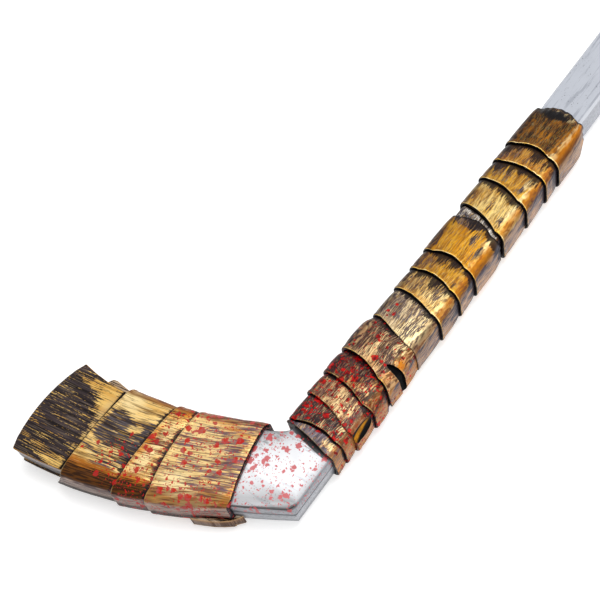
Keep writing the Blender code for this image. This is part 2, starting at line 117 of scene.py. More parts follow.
class Signal:
    """One output of a node. Arithmetic on it adds Math nodes to its tree."""

    def __init__(self, wires: "Wires", socket: bpy.types.NodeSocket) -> None:
        """Keeps the socket and the wires that it belongs to."""
        self.wires = wires
        self.socket = socket

    def __add__(self, other: "Feed") -> "Signal":
        """Adds a number or a signal."""
        return self.wires.math("ADD", self, other)

    def __mul__(self, other: "Feed") -> "Signal":
        """Multiplies by a number or a signal."""
        return self.wires.math("MULTIPLY", self, other)

    __radd__ = __add__
    __rmul__ = __mul__

    def __sub__(self, other: "Feed") -> "Signal":
        """Takes a number or a signal away."""
        return self.wires.math("SUBTRACT", self, other)

    def __rsub__(self, other: float) -> "Signal":
        """Takes the signal away from a number."""
        return self.wires.math("SUBTRACT", other, self)

    def __abs__(self) -> "Signal":
        """Drops the sign."""
        return self.wires.math("ABSOLUTE", self)

    def most(self, other: "Feed") -> "Signal":
        """Gives the larger of two."""
        return self.wires.math("MAXIMUM", self, other)

    def least(self, other: "Feed") -> "Signal":
        """Gives the smaller of two."""
        return self.wires.math("MINIMUM", self, other)

    def clamped(self) -> "Signal":
        """Keeps a Math node's result from 0 to 1."""
        self.socket.node.use_clamp = True
        return self

    def rise(self, low: "Feed", high: "Feed", to_low: "Feed" = 0.0, to_high: "Feed" = 1.0) -> "Signal":
        """Maps the value smoothly from one range to another.

        Args:
            low: Where the range starts.
            high: Where it ends.
            to_low: The result at the start.
            to_high: The result at the end.

        Returns:
            The mapped value.
        """
        values = {"Value": self, "From Min": low, "From Max": high, "To Min": to_low, "To Max": to_high}
        return self.wires.out("ShaderNodeMapRange", values, "Result", interpolation_type="SMOOTHSTEP")

    def noise(self, sizes: Triple, detail: float, rough: float = 0.5, shift: Triple = (0.0, 0.0, 0.0)) -> "Signal":
        """Adds a cloudy noise at these coordinates.

        Args:
            sizes: How large a cloud is along each axis, in metres.
            detail: How many finer layers it has.
            rough: How strong the finer layers are.
            shift: What is added to the coordinates, in clouds.

        Returns:
            The noise's value.
        """
        values = {"Vector": self.stretched(sizes, shift), "Scale": 1.0, "Detail": detail, "Roughness": rough}
        return self.wires.out("ShaderNodeTexNoise", values)

    def stretched(self, sizes: Triple, shift: Triple = (0.0, 0.0, 0.0)) -> "Signal":
        """Measures coordinates in new units, each given by its size, and shifts them."""
        scale = tuple(1 / size for size in sizes)
        return self.wires.out("ShaderNodeMapping", {"Vector": self, "Location": shift, "Scale": scale})

    def split(self) -> list["Signal"]:
        """Gives the three parts of a vector."""
        made = self.wires.node("ShaderNodeSeparateXYZ", {0: self})
        return [Signal(self.wires, socket) for socket in made.outputs]


Feed = float | Signal


class Wires:
    """Adds shader nodes to a tree and joins them."""

    def __init__(self, tree: bpy.types.NodeTree) -> None:
        """Keeps the tree."""
        self.tree = tree

    def node(self, kind: str, values: dict[str | int, object] | None = None, **settings: object) -> bpy.types.Node:
        """Adds a node.

        Args:
            kind: The node's type name.
            values: What its inputs get.
            **settings: Its properties.

        Returns:
            The new node.
        """
        made = self.tree.nodes.new(kind)
        for name, value in settings.items():
            setattr(made, name, value)
        self.feed_all(made, values or {})
        return made

    def feed_all(self, node: bpy.types.Node, values: dict[str | int, object]) -> None:
        """Feeds a node's inputs, by their names or places."""
        for name, value in values.items():
            self.feed(node.inputs[name], value)

    def out(self, kind: str, values: dict[str | int, object] | None = None, output: str | int = 0,
            **settings: object) -> Signal:
        """Adds a node and gives one of its outputs.

        Args:
            kind: The node's type name.
            values: What its inputs get.
            output: The output's name or place.
            **settings: The node's properties.

        Returns:
            The output.
        """
        return Signal(self, self.node(kind, values, **settings).outputs[output])

    def feed(self, socket: bpy.types.NodeSocket, value: object) -> None:
        """Links a socket, or sets its value.

        Args:
            socket: The input.
            value: A signal, a number, a vector or a colour.
        """
        if isinstance(value, Signal):
            self.tree.links.new(value.socket, socket)
        elif isinstance(value, tuple) and socket.type == "RGBA":
            socket.default_value = (*value, 1.0)
        else:
            socket.default_value = value

    def math(self, operation: str, first: Feed, second: Feed = 0.0) -> Signal:
        """Calculates with two numbers."""
        return self.out("ShaderNodeMath", {0: first, 1: second}, operation=operation)

    def vector(self, operation: str, *values: object, output: int = 0) -> Signal:
        """Calculates with vectors."""
        return self.out("ShaderNodeVectorMath", dict(enumerate(values)), output, operation=operation)

    def mix(self, share: Feed, first: object, second: object) -> Signal:
        """Mixes two colours.

        Args:
            share: How much of the second, from 0 to 1.
            first: The colour at 0.
            second: The colour at 1.

        Returns:
            The mixed colour.
        """
        return self.out("ShaderNodeMix", {0: share, 6: first, 7: second}, 2, data_type="RGBA")

    def named(self, made: bpy.types.Node) -> SimpleNamespace:
        """Gives a node's outputs by their names, in small letters and with underscores."""
        named = {socket.name.lower().replace(" ", "_"): Signal(self, socket) for socket in made.outputs}
        return SimpleNamespace(**named)

    def group(self, tree: bpy.types.NodeTree, **values: object) -> SimpleNamespace:
        """Places a node group.

        Args:
            tree: The group's tree.
            **values: Its inputs, by their names in small letters.

        Returns:
            Its outputs by name.
        """
        given = {name.capitalize(): value for name, value in values.items()}
        return self.named(self.node("ShaderNodeGroup", given, node_tree=tree))

    def seen_directly(self) -> Signal:
        """Marks what the camera, a reflection or a clear piece sees, and not the light on other things."""
        rays = self.named(self.node("ShaderNodeLightPath"))
        return rays.is_camera_ray.most(rays.is_glossy_ray).most(rays.is_transmission_ray)


class Group(Wires):
    """A shared node group while it is built."""

    def __init__(self, name: str, inputs: tuple[str, ...], outputs: tuple[str, ...]) -> None:
        """Starts the group with named sockets.

        Args:
            name: The group's name.
            inputs: The inputs' names. The first is a vector and the others are numbers.
            outputs: The outputs' names, all numbers.
        """
        super().__init__(bpy.data.node_groups.new(name, "ShaderNodeTree"))
        sockets = [(label, "INPUT", "Float" if index else "Vector") for index, label in enumerate(inputs)]
        for label, way, kind in sockets + [(label, "OUTPUT", "Float") for label in outputs]:
            self.tree.interface.new_socket(label, in_out=way, socket_type="NodeSocket" + kind)
        self.given = self.named(self.node("NodeGroupInput"))
        self.result = self.node("NodeGroupOutput")

    def done(self, **values: Feed) -> bpy.types.NodeTree:
        """Feeds the group's outputs, by their names in small letters, and gives its tree."""
        self.feed_all(self.result, {name.capitalize(): value for name, value in values.items()})
        return self.tree


class Effects:
    """The shared paint, wear and painted light effects, each a node group that is built once."""

    def __init__(self) -> None:
        """Builds the groups."""
        self.strokes = self.bristle_strokes()
        self.smear = self.ragged_smear()
        self.lip = self.worn_lip()
        self.spray = self.spatter()
        self.grime = self.grime_specks()

    @staticmethod
    def bristle_strokes() -> bpy.types.NodeTree:
        """Builds the marks of a nearly dry brush, long and thin along the first coordinate.

        Returns:
            The group's tree.
        """
        group = Group("Bristle strokes", ("Run", "Seed", "Cover", "Softness", "Patchy", "Grain"),
                      ("Mask", "Patch", "Bristle", "Tone", "Scratch", "Glint"))
        given = group.given
        seeded = group.vector("ADD", given.run, group.out("ShaderNodeCombineXYZ", {2: given.seed}))
        drift = (seeded.noise((0.03, 0.02, 1.0), 1.0, 0.5, (4.0, 8.0, 0.0)) - 0.5) * 0.005
        place = group.vector("ADD", seeded, group.out("ShaderNodeCombineXYZ", {1: drift}))
        broad = place.noise((0.0130, 0.0014, 1.0), 2.0, 0.6)
        fine = place.noise((0.0044, 0.00085, 1.0), 1.0, 0.5, (3.1, 7.7, 0.0))
        patch = place.noise((0.020, 0.0070, 1.0), 3.0, 0.55, (9.2, 1.4, 0.0))
        tone = place.noise((0.012, 0.0022, 1.0), 2.0, 0.6, (2.2, 5.9, 0.0))
        scratch = place.noise((0.0058, 0.00085, 1.0), 1.0, 0.5, (6.3, 0.7, 0.0))
        glint = place.noise((0.0050, 0.00085, 1.0), 1.0, 0.5, (1.9, 4.4, 0.0))
        grain = (place.noise((0.0007, 0.0007, 1.0), 2.0, 0.6, (7.1, 3.3, 0.0)) - 0.5) * given.grain
        value = (broad * 0.35 + fine * 0.65).rise(0.34, 0.66) + grain
        cover = given.cover + (patch - 0.5) * given.patchy
        threshold = cover.rise(-0.25, 1.25, 0.97, 0.03)
        mask = value.rise(threshold - given.softness, threshold + given.softness)
        return group.done(mask=mask, patch=patch.rise(0.36, 0.64), bristle=fine.rise(0.3, 0.7),
                          tone=tone.rise(0.32, 0.68), scratch=scratch.rise(0.56, 0.66),
                          glint=glint.rise(0.56, 0.66))

    @staticmethod
    def ragged_smear() -> bpy.types.NodeTree:
        """Builds the dark paint and painted shade that fade out from under the next lip in ragged strokes.

        Returns:
            The group's tree.
        """
        group = Group("Ragged smear", ("Run", "Distance", "Reach", "Gap"), ("Mask", "Core"))
        given = group.given
        ragged = given.run.noise((0.009, 0.0016, 1.0), 3.0, 0.65)
        blotch = given.run.noise((0.02, 0.011, 1.0), 1.0, 0.5, (5.0, 2.0, 0.0))
        away = given.distance + (ragged + blotch - 1.0) * 3.2 * given.reach
        # Mask: dark paint and painted shade fading out from under the next lip. Core: a painted black shadow in the gap
        # right under the lip.
        return group.done(mask=away.rise(given.reach * 0.55, given.reach, 1.0, 0.0),
                          core=given.distance.rise(given.gap * 0.4, given.gap, 1.0, 0.0))

    @staticmethod
    def worn_lip() -> bpy.types.NodeTree:
        """Builds the bright line that rubbing leaves along a strap's lip, with a painted highlight on it, and the dark
        wall under it, which is painted shade.

        Returns:
            The group's tree.
        """
        group = Group("Worn lip", ("Run", "Distance", "Width"), ("Line", "Wall"))
        given = group.given
        breaks = given.run.noise((0.004, 0.0035, 1.0), 2.0, 0.6)
        width = given.width * breaks.rise(0.3, 0.6, 0.45, 1.25)
        line = given.distance.rise(width * 0.7, width, 1.0, 0.0)
        return group.done(line=line * given.distance.rise(-0.0001, 0.0001),
                          wall=given.distance.rise(-0.0002, 0.0, 1.0, 0.0))

    @staticmethod
    def spatter() -> bpy.types.NodeTree:
        """Builds spots of thrown paint in several sizes.

        Returns:
            The group's tree.
        """
        group = Group("Spatter", ("Place", "Density", "Blots"), ("Mask", "Shade"))
        given = group.given
        warp = group.node("ShaderNodeTexNoise", {"Vector": given.place, "Scale": 420.0, "Detail": 2.0})
        centred = group.vector("SUBTRACT", Signal(group, warp.outputs[1]), (0.5, 0.5, 0.5))
        small = group.out("ShaderNodeVectorMath", {0: centred, "Scale": 0.0034}, operation="SCALE")
        moved = group.vector("ADD", given.place, small)
        mask = given.blots.rise(-0.00025, 0.00025, 1.0, 0.0)
        for scale, low, high in ((180.0, 0.08, 0.40), (430.0, 0.08, 0.40), (900.0, 0.1, 0.44)):
            cells = group.named(group.node("ShaderNodeTexVoronoi", {"Vector": moved, "Scale": scale}))
            size, chance, _ = cells.color.split()
            spot = (size.rise(0.0, 1.0, low, high) - cells.distance).rise(-0.04, 0.04)
            mask = mask.most(spot * group.math("LESS_THAN", chance, given.density))
        return group.done(mask=mask, shade=Signal(group, warp.outputs[0]).rise(0.35, 0.65))

    @staticmethod
    def grime_specks() -> bpy.types.NodeTree:
        """Builds fine dark specks and a soft cloudy tone for painted faces.

        Returns:
            The group's tree.
        """
        group = Group("Grime specks", ("Place", "Amount"), ("Specks", "Cloud"))
        given = group.given
        fine = given.place.noise((1 / 900,) * 3, 2.0, 0.6)
        cloud = given.place.noise((1 / 60,) * 3, 3.0, 0.55)
        threshold = 0.78 - given.amount * 0.3
        level = fine + (cloud - 0.5) * 0.5
        return group.done(specks=level.rise(threshold, threshold + 0.05), cloud=cloud.rise(0.35, 0.65))


class Patch(NamedTuple):
    """A soft oval of more or less paint: its middle and half sizes in millimetres, how much, and its turn."""

    x: float
    y: float
    length: float
    width: float
    amount: float
    turn: float = 0.0


class Blot(NamedTuple):
    """A round blot of thrown paint: its middle and radius in millimetres."""

    x: float
    y: float
    radius: float


class Brush(Wires):
    """A material while it is painted."""

    def __init__(self, name: str, effects: Effects, origin: Vector) -> None:
        """Starts a material.

        Args:
            name: Its name.
            effects: The shared node groups.
            origin: Where the drawing frame's origin is.
        """
        self.material = bpy.data.materials.new(name)
        self.material.use_nodes = True
        super().__init__(self.material.node_tree)
        self.shader = self.tree.nodes["Principled BSDF"]
        self.effects = effects
        self.origin = origin
        self.place = self.out("ShaderNodeTexCoord", output="Object")

    def coats(self, colour: object, *coats: tuple[Feed, object]) -> Signal:
        """Lays coats over a colour.

        Args:
            colour: The colour underneath.
            *coats: Each coat's share, from 0 to 1, and its colour.

        Returns:
            The colour on top.
        """
        for share, over in coats:
            colour = self.mix(share, colour, over)
        return colour

    def ovals(self, patches: Rows) -> Feed:
        """Adds up soft ovals of paint.

        Args:
            patches: The ovals, each with a Patch's values.

        Returns:
            The summed amount at each point.
        """
        result: Feed = 0.0
        for patch in (Patch(*row) for row in patches):
            values = {
                "Vector": self.place, "Location": (self.origin.x + patch.x * MM, self.origin.y + patch.y * MM, 0.0),
                "Rotation": (0.0, 0.0, math.radians(patch.turn)), "Scale": (patch.length * MM, patch.width * MM, 1.0),
            }
            near = self.out("ShaderNodeMapping", values, vector_type="TEXTURE")
            result = self.vector("LENGTH", near, output=1).rise(0.35, 1.25, patch.amount, 0.0) + result
        return result

    def share(self, patches: Rows, part: Feed = 1.0) -> Signal:
        """Gives part of some ovals' paint, kept from 0 to 1."""
        return self.math("MULTIPLY", self.ovals(patches), part).clamped()

    def outside_blots(self, blots: Rows) -> Feed:
        """Measures how far outside the nearest blot a point is.

        Args:
            blots: The blots, each with a Blot's values.

        Returns:
            The distance in metres, negative inside a blot.
        """
        if not blots:
            return 1.0
        sway = 0.0034
        flat = self.vector("MULTIPLY", self.place, (1.0, 1.0, 0.0))
        warp = self.out("ShaderNodeTexNoise", {"Vector": self.place, "Scale": 380.0}, 1)
        moved = self.vector("MULTIPLY_ADD", warp, (sway, sway, 0.0), flat)
        result: Feed = 1.0
        for blot in (Blot(*row) for row in blots):
            middle = (self.origin.x + blot.x * MM + sway / 2, self.origin.y + blot.y * MM + sway / 2, 0.0)
            result = (self.vector("DISTANCE", moved, middle, output=1) - blot.radius * MM).least(result)
        return result

    def spray(self, density: Feed, blots: Rows) -> SimpleNamespace:
        """Throws paint at this density, with its larger blots where they are given."""
        return self.group(self.effects.spray, place=self.place, density=density, blots=self.outside_blots(blots))

    def uprightness(self) -> Signal:
        """Gives 1 on the front and back faces and 0 on the sides."""
        normal = self.out("ShaderNodeNewGeometry", output="Normal")
        return abs(normal.split()[2])

    def rounded_edge(self, flat: float = 0.998, turned: float = 0.97) -> Signal:
        """Marks the rounded edge between a hard part's face and its side.

        Args:
            flat: How upright the normal is where the mark starts.
            turned: How upright it is where the mark is full.

        Returns:
            The mask.
        """
        tilt = self.uprightness()
        return tilt.rise(0.08, 0.25) * tilt.rise(flat, turned)

    def coat(self, colour: Signal, roughness: Signal, height: Signal, depth: float = 0.4, strength: float = 0.2,
             **inputs: Feed) -> None:
        """Gives the shader its colour, gloss and relief.

        Args:
            colour: The paint's colour.
            roughness: How matt it is.
            height: Its relief, from 0 to 1.
            depth: How deep the relief is in millimetres.
            strength: How much of it shows.
            **inputs: The shader's other inputs, with spaces in their names written as underscores.
        """
        bump = self.out("ShaderNodeBump", {"Strength": strength, "Distance": depth * MM, "Height": height})
        self.feed_all(self.shader, {"Base Color": colour, "Roughness": roughness, "Normal": bump})
        self.feed_all(self.shader, {name.replace("_", " "): value for name, value in inputs.items()})


class Finish(ABC):
    """What all finishes can do: build themselves as a material."""

    def material(self, name: str, effects: Effects, origin: Vector) -> bpy.types.Material:
        """Builds the finish as a material.

        Args:
            name: The material's name.
            effects: The shared node groups.
            origin: Where the drawing frame's origin is.

        Returns:
            The new material.
        """
        brush = Brush(name, effects, origin)
        self.apply(brush)
        return brush.material

    @abstractmethod
    def apply(self, brush: Brush) -> None:
        """Paints with the brush, each finish in its own way."""


# Near-black, for dark paint and for painted shadows and shade.
INK_AND_SHADOW = paint(12, 8, 10)
GREY = paint(104, 92, 100)
BROWN = paint(118, 66, 22)
AMBER = paint(218, 146, 28)
YELLOW = paint(244, 190, 72)
CREAM = paint(255, 230, 170)
ORANGE = paint(214, 128, 22)
TAN = paint(202, 158, 120)
RED = paint(216, 18, 14)
MAROON = paint(124, 10, 12)
CORAL = paint(204, 70, 74)


@dataclass(frozen=True)
class StrapFinish(Finish):
    """Gold paint brushed nearly dry over a dark strap, with wear, smears and thrown paint, and painted shade and
    highlights.
    """

    seed: float
    cover: float = 0.6
    patchy: float = 3.0
    softness: float = 0.2
    grain: float = 0.6
    strokes: tuple[float, float] = (1.0, 1.0)
    base: Colour = paint(50, 36, 34)
    amber: Colour = AMBER
    yellow: Colour = YELLOW
    brown: Colour = BROWN
    grey: Colour = GREY
    scratch: float = 0.55
    glint: float = 0.35
    glint_colour: Colour = YELLOW
    far: Colour = TAN
    far_dark: Colour = paint(92, 88, 102)
    far_cover: float = 0.55
    far_high: float = 0.4
    far_low: float = 0.4
    low_range: tuple[float, float] = (5.0, 0.0)
    sparkle: float = 0.4
    # Painted shade on the near side's turn and across the face towards it:
    near: float = 0.8
    near_range: tuple[float, float] = (0.03, 0.45)
    near_shade_colour: Colour = paint(46, 30, 20)
    left: float = 0.5
    left_colour: Colour = paint(112, 70, 40)
    rim: float = 0.5
    # Painted highlights, reflection and shade on the far corner and along the far edge:
    shine: float = 0.5
    ridge: float = 0.72
    ridge_colour: Colour = ORANGE
    ridge_dark: Colour = BROWN
    band: float = 0.0
    band_width: float = 0.2
    # How far dark paint and painted shade reach out from under the next lip, and how wide the painted shadow in the gap
    # is, in millimetres.
    smear: float = 4.0
    gap: float = 1.5
    line: float = 0.42
    line_strength: float = 1.0
    lip_fade: float = -3.0
    tuck_fade: float = -3.0
    spatter: float = 0.0
    red: Colour = RED
    red_dark: Colour = MAROON
    patches: Rows = ()
    # Cream patches are painted highlights; orange patches are partly painted highlights.
    creams: Rows = ()
    glows: Rows = ()
    # Dark patches: painted shade in a gathered end's folds, over dark paint.
    darks: Rows = ()
    sprays: Rows = ()
    blots: Rows = ()

    def apply(self, brush: Brush) -> None:
        """Paints the faces, corners and far side with their painted shade and highlights, then the smears with painted
        shade under each lip, the worn lips with a painted highlight and shaded wall, and the thrown paint.

        Args:
            brush: The material to paint.
        """
        run = brush.out("ShaderNodeUVMap", uv_map="run")
        lip, tuck, _ = brush.out("ShaderNodeUVMap", uv_map="edges").split()
        side, _, across = brush.out("ShaderNodeAttribute", output="Vector", attribute_name="facing").split()
        far = side.rise(-0.86, -0.97)
        rim = lip.rise(0.0048, 0.0012) * self.rim
        strokes = brush.group(
            brush.effects.strokes, run=run.stretched((*self.strokes, 1.0)), seed=self.seed,
            cover=brush.ovals(self.patches) + self.cover + rim, softness=self.softness, patchy=self.patchy,
            grain=self.grain)
        frayed = strokes.bristle.rise(0.25, 0.75, 1.0, 0.55)
        smear = brush.group(brush.effects.smear, run=run, distance=tuck, reach=self.smear * MM, gap=self.gap * MM)
        smear_shade_share = across.rise(self.tuck_fade, self.tuck_fade + 0.4)
        lip_light_and_shade = brush.group(brush.effects.lip, run=run, distance=lip, width=self.line * MM)
        bright = side.rise(0.95, 0.4, 0.3 * self.line_strength, self.line_strength) * side.rise(-0.98, -0.7, 0.35, 1.0)
        shown = across.rise(self.lip_fade, self.lip_fade + 0.4)
        thrown = brush.spray(brush.ovals(self.sprays) + self.spatter, self.blots)
        colour = brush.coats(
            self.turned(brush, strokes, self.face(brush, strokes), side, across),
            (far, self.flank(brush, run)),
            # Dark patches: painted shade in the gathered end's folds, over dark paint.
            (brush.share(self.darks, frayed), INK_AND_SHADOW),
            # Dark paint and painted shade under the next lip, then the painted shadow in the gap.
            (smear.mask * 0.92 * smear_shade_share, brush.mix(far, paint(24, 16, 20), paint(52, 50, 62))),
            (smear.core * far.rise(0.0, 1.0, 1.0, 0.55) * smear_shade_share, INK_AND_SHADOW),
            # The lip's bright line is a painted highlight over rubbed paint; the wall under it is painted shade.
            (lip_light_and_shade.line * bright * shown, brush.mix(strokes.patch, YELLOW, CREAM)),
            (lip_light_and_shade.wall * shown.rise(0.0, 1.0, 0.55, 1.0), INK_AND_SHADOW),
            (thrown.mask * 0.94, brush.mix(thrown.shade, self.red, self.red_dark)),
        )
        height = strokes.mask * 0.4 + strokes.bristle * 0.6 + thrown.mask * 0.5
        brush.coat(colour, strokes.mask.rise(0.0, 1.0, 0.42, 0.32), height, 0.5, 0.3,
                   Metallic=strokes.mask * 0.25 * (1.0 - thrown.mask), Specular_IOR_Level=0.07, Coat_Weight=0.08,
                   Coat_Roughness=0.2)

    def face(self, brush: Brush, strokes: SimpleNamespace) -> Signal:
        """Brushes gold over the dark base.

        Args:
            brush: The material to paint.
            strokes: The brush marks.

        Returns:
            The colour.
        """
        gold = brush.coats(
            self.amber,
            (strokes.patch, self.yellow),
            (strokes.tone.rise(0.6, 0.0, 0.0, 0.6), self.brown),
            # Orange patches, partly painted highlights, and cream patches, painted highlights.
            (brush.share(self.glows, strokes.bristle.rise(0.0, 0.5, 0.5, 1.0)), ORANGE),
            (brush.share(self.creams, strokes.tone.rise(0.1, 0.6, 0.35, 1.0)), CREAM),
            (strokes.glint * self.sparkle, CREAM),
            (strokes.scratch * self.scratch, paint(72, 48, 34)),
        )
        return brush.coats(
            self.base,
            (strokes.tone * strokes.bristle.rise(0.1, 0.8, 0.5, 1.0), self.grey),
            (strokes.glint * self.glint, self.glint_colour),
            (strokes.mask, gold),
        )

    def turned(self, brush: Brush, strokes: SimpleNamespace, colour: Signal, side: Signal, across: Signal) -> Signal:
        """Paints shade on the near side and across the face towards it, a highlight and reflection on the far corner,
        and a strip of highlight then shade along the far edge.

        Args:
            brush: The material to paint.
            strokes: The brush marks.
            colour: The face's colour.
            side: How far the surface faces the near side, from -1 to 1.
            across: Where on the face it is, from -1 at the far side.

        Returns:
            The new colour.
        """
        tone, bristle = strokes.tone, strokes.bristle
        ragged = side + (bristle - 0.5) * 0.22
        # A painted highlight just inside the far corner.
        shine = ragged.rise(-0.03, -0.2) * ragged.rise(-0.56, -0.3) * tone.rise(0.1, 0.6, 0.3 * self.shine, self.shine)
        # A painted reflection on the far corner, shaded darker towards the far side.
        corner = ragged.rise(-0.12, -0.6) * side.rise(-0.99, -0.86) * tone.rise(0.1, 0.7, 0.78 * self.ridge, self.ridge)
        # A painted strip of highlight, then painted shade, along the far edge.
        level = across + (bristle - 0.5) * 0.1 + (tone - 0.5) * 0.03
        starts, lit_to_shaded, ends = (-1.0 + share * self.band_width for share in (2.0, 1.25, 0.4))
        return brush.coats(
            colour,
            # Painted shade: across the face towards the near side, and on the near side's turn.
            (across.rise(-0.1, 1.0) * tone.rise(0.0, 0.8, self.left, self.left * 0.5), self.left_colour),
            (side.rise(*self.near_range) * bristle.rise(0.2, 0.8, self.near, self.near * 0.7), self.near_shade_colour),
            (shine, brush.mix(strokes.patch, YELLOW, CREAM)),
            (corner, brush.mix(side.rise(-0.5, -0.88), self.ridge_colour, self.ridge_dark)),
            (level.rise(starts, lit_to_shaded, 0.0, 0.85 * self.band), self.ridge_colour),
            (level.rise(lit_to_shaded, ends, 0.0, self.band) * bristle.rise(0.25, 0.75, 1.0, 0.82), self.ridge_dark),
        )

    def flank(self, brush: Brush, run: Signal) -> Signal:
        """Brushes the far side with broader marks, darker towards the table and the corner.

        Args:
            brush: The material to paint.
            run: The coordinates along and round the turn.

        Returns:
            The colour.
        """
        marks = brush.group(brush.effects.strokes, run=run.stretched((1.9, 1.7, 1.0)), seed=self.seed + 5.0,
                            cover=self.far_cover, softness=0.34, patchy=2.6, grain=0.3)
        height = brush.place.split()[2]
        high = height.rise(brush.origin.z + 9 * MM, brush.origin.z + 17 * MM) * self.far_high
        low = height.rise(*(brush.origin.z + level * MM for level in self.low_range)) * self.far_low
        return brush.coats(
            self.far_dark,
            (marks.mask, self.far),
            (marks.scratch * 0.4, paint(78, 66, 68)),
            (marks.glint * 0.4, paint(228, 196, 168)),
            (high.most(low), paint(40, 24, 16)),
        )


@dataclass(frozen=True)
class SilverFinish(Finish):
    """Silver-grey paint with soft lengthwise streaks, specks and thrown paint."""

    run: Triple = (0.03, 0.0022, 0.0022)
    light: Colour = paint(188, 192, 201)
    shade: Colour = paint(160, 164, 174)
    cover: float = 0.8
    specks: float = 0.3
    edge: Colour = paint(206, 209, 216)
    side: Colour = paint(160, 163, 172)
    side_light: Colour = paint(184, 187, 196)
    line_end: float = -NOWHERE
    line_start: float = NOWHERE
    shadows: Rows = ()
    toe: Colour = paint(150, 128, 116)
    toe_start: float = 400.0
    spatter: float = 0.0
    sprays: Rows = ()
    smudges: Rows = ()
    blots: Rows = ()

    def apply(self, brush: Brush) -> None:
        """Paints the streaks, then the sides, the dark line along the lower edge and the thrown paint.

        Args:
            brush: The material to paint.
        """
        origin, blend = brush.origin, 4 * MM
        soft = brush.place.noise(self.run, 4.0, 0.6)
        middle = 0.67 - 0.3 * self.cover
        dirt = brush.group(brush.effects.grime, place=brush.place, amount=self.specks)
        scuffs = brush.place.noise((0.0012, 0.004, 0.0012), 3.0, 0.65)
        sides = brush.uprightness().rise(0.3, 0.6, 1.0, 0.0)
        x, y, z = brush.place.split()
        end = origin.x + self.line_end * MM
        start, toe_start = (origin.y + level * MM for level in (self.line_start, self.toe_start))
        lined = x.rise(end + 3 * MM, end - 3 * MM).most(y.rise(start, start + blend))
        under = z.rise(origin.z + 16.2 * MM, origin.z + 17.4 * MM) * lined
        toe = y.rise(toe_start, toe_start + blend)
        thrown = brush.spray(brush.ovals(self.sprays) + self.spatter - toe, self.blots)
        colour = brush.coats(
            self.shade,
            (soft.rise(middle - 0.05, middle + 0.05), self.light),
            (dirt.specks * 0.7, paint(70, 72, 78)),
            (dirt.cloud * 0.12, self.shade),
            (brush.share(self.smudges, scuffs.rise(0.48, 0.62)), paint(104, 106, 112)),
            (brush.share(self.shadows, 1.0 - sides), INK_AND_SHADOW),
            (sides, brush.mix(scuffs.rise(0.35, 0.6), self.side, self.side_light)),
            (under * sides, INK_AND_SHADOW),
            (toe, self.toe),
            (brush.rounded_edge() * 0.85, brush.mix(lined, self.edge, INK_AND_SHADOW)),
            (thrown.mask * 0.9, CORAL),
        )
        brush.coat(colour, soft.rise(0.3, 0.7, 0.46, 0.34), soft, Metallic=(1.0 - thrown.mask) * 0.08)


@dataclass(frozen=True)
class PlateFinish(Finish):
    """Near-black paint with long thin gold strokes, for the toe plates and the loose strap ends."""

    cover: float = 0.35
    amber: Colour = AMBER
    yellow: Colour = YELLOW
    base: Colour = paint(24, 19, 20)
    grey: Colour = paint(74, 63, 64)
    turn: float = -0.13
    seed: float = 0.0
    edge: Colour = paint(196, 140, 52)
    side: Colour = paint(92, 70, 58)
    side_light: Colour = paint(150, 116, 96)
    patches: Rows = ()
    creams: Rows = ()
    shadows: Rows = ()
    side_depth: tuple[float, float] = (-30.0, -20.0)

    def apply(self, brush: Brush) -> None:
        """Paints the strokes across the plate, its shadows, sides and worn edge.

        Args:
            brush: The material to paint.
        """
        combing = {"Vector": brush.place, "Rotation": (0.0, 0.0, self.turn - math.pi / 2)}
        turned = brush.out("ShaderNodeMapping", combing)
        marks = brush.group(brush.effects.strokes, run=turned.stretched((3.2, 0.8, 1.0)), seed=self.seed,
                            cover=brush.ovals(self.patches) + self.cover, softness=0.14, patchy=1.3, grain=1.2)
        gold = brush.coats(
            self.amber,
            (marks.patch, self.yellow),
            (marks.scratch * 0.6, paint(72, 52, 36)),
            # Cream patches, painted highlights.
            (brush.share(self.creams), paint(206, 190, 160)),
        )
        side = brush.mix(marks.bristle.rise(0.3, 0.8, 0.0, 0.6), self.side, self.side_light)
        depth = (brush.origin.z + level * MM for level in self.side_depth)
        side = brush.mix(brush.place.split()[2].rise(*depth), paint(40, 24, 18), side)
        colour = brush.coats(
            self.base,
            (marks.tone, self.grey),
            (marks.glint * 0.35, paint(150, 132, 112)),
            (marks.mask, gold),
            (brush.share(self.shadows), INK_AND_SHADOW),
            (brush.uprightness().rise(0.2, 0.5, 1.0, 0.0), side),
            (brush.rounded_edge(0.96, 0.88) * marks.bristle.rise(0.2, 0.8, 1.0, 0.7), self.edge),
        )
        brush.coat(colour, marks.mask.rise(0.0, 1.0, 0.5, 0.36), marks.mask + marks.bristle, 0.5, 0.3,
                   Metallic=marks.mask * 0.3, Specular_IOR_Level=0.07)


@dataclass(frozen=True)
class HollowFinish(Finish):
    """The inside of a hollow, painted near-black as shade over its dark paint, with a stripe of paint that catches the
    light.
    """

    stripe: Colour
    middle: Triple
    size: Triple
    turn: float = 0.0

    def apply(self, brush: Brush) -> None:
        """Paints the stripe over black.

        Args:
            brush: The material to paint.
        """
        values = {
            "Vector": brush.place, "Location": tuple(brush.origin + Vector(self.middle) * MM),
            "Rotation": (0.0, math.radians(self.turn), 0.0), "Scale": tuple(size * MM for size in self.size),
        }
        near = brush.out("ShaderNodeMapping", values, vector_type="TEXTURE")
        grain = brush.place.noise((0.006, 0.0012, 0.0012), 2.0, 0.6)
        share = brush.vector("LENGTH", near, output=1).rise(0.6, 1.15, 1.0, 0.0) * grain.rise(0.3, 0.6, 0.4, 1.0)
        # Near-black: painted shade inside the hollow.
        brush.coat(brush.mix(share, paint(6, 4, 6), self.stripe), grain.rise(0.3, 0.7, 0.5, 0.65), grain,
                   Specular_IOR_Level=0.05)


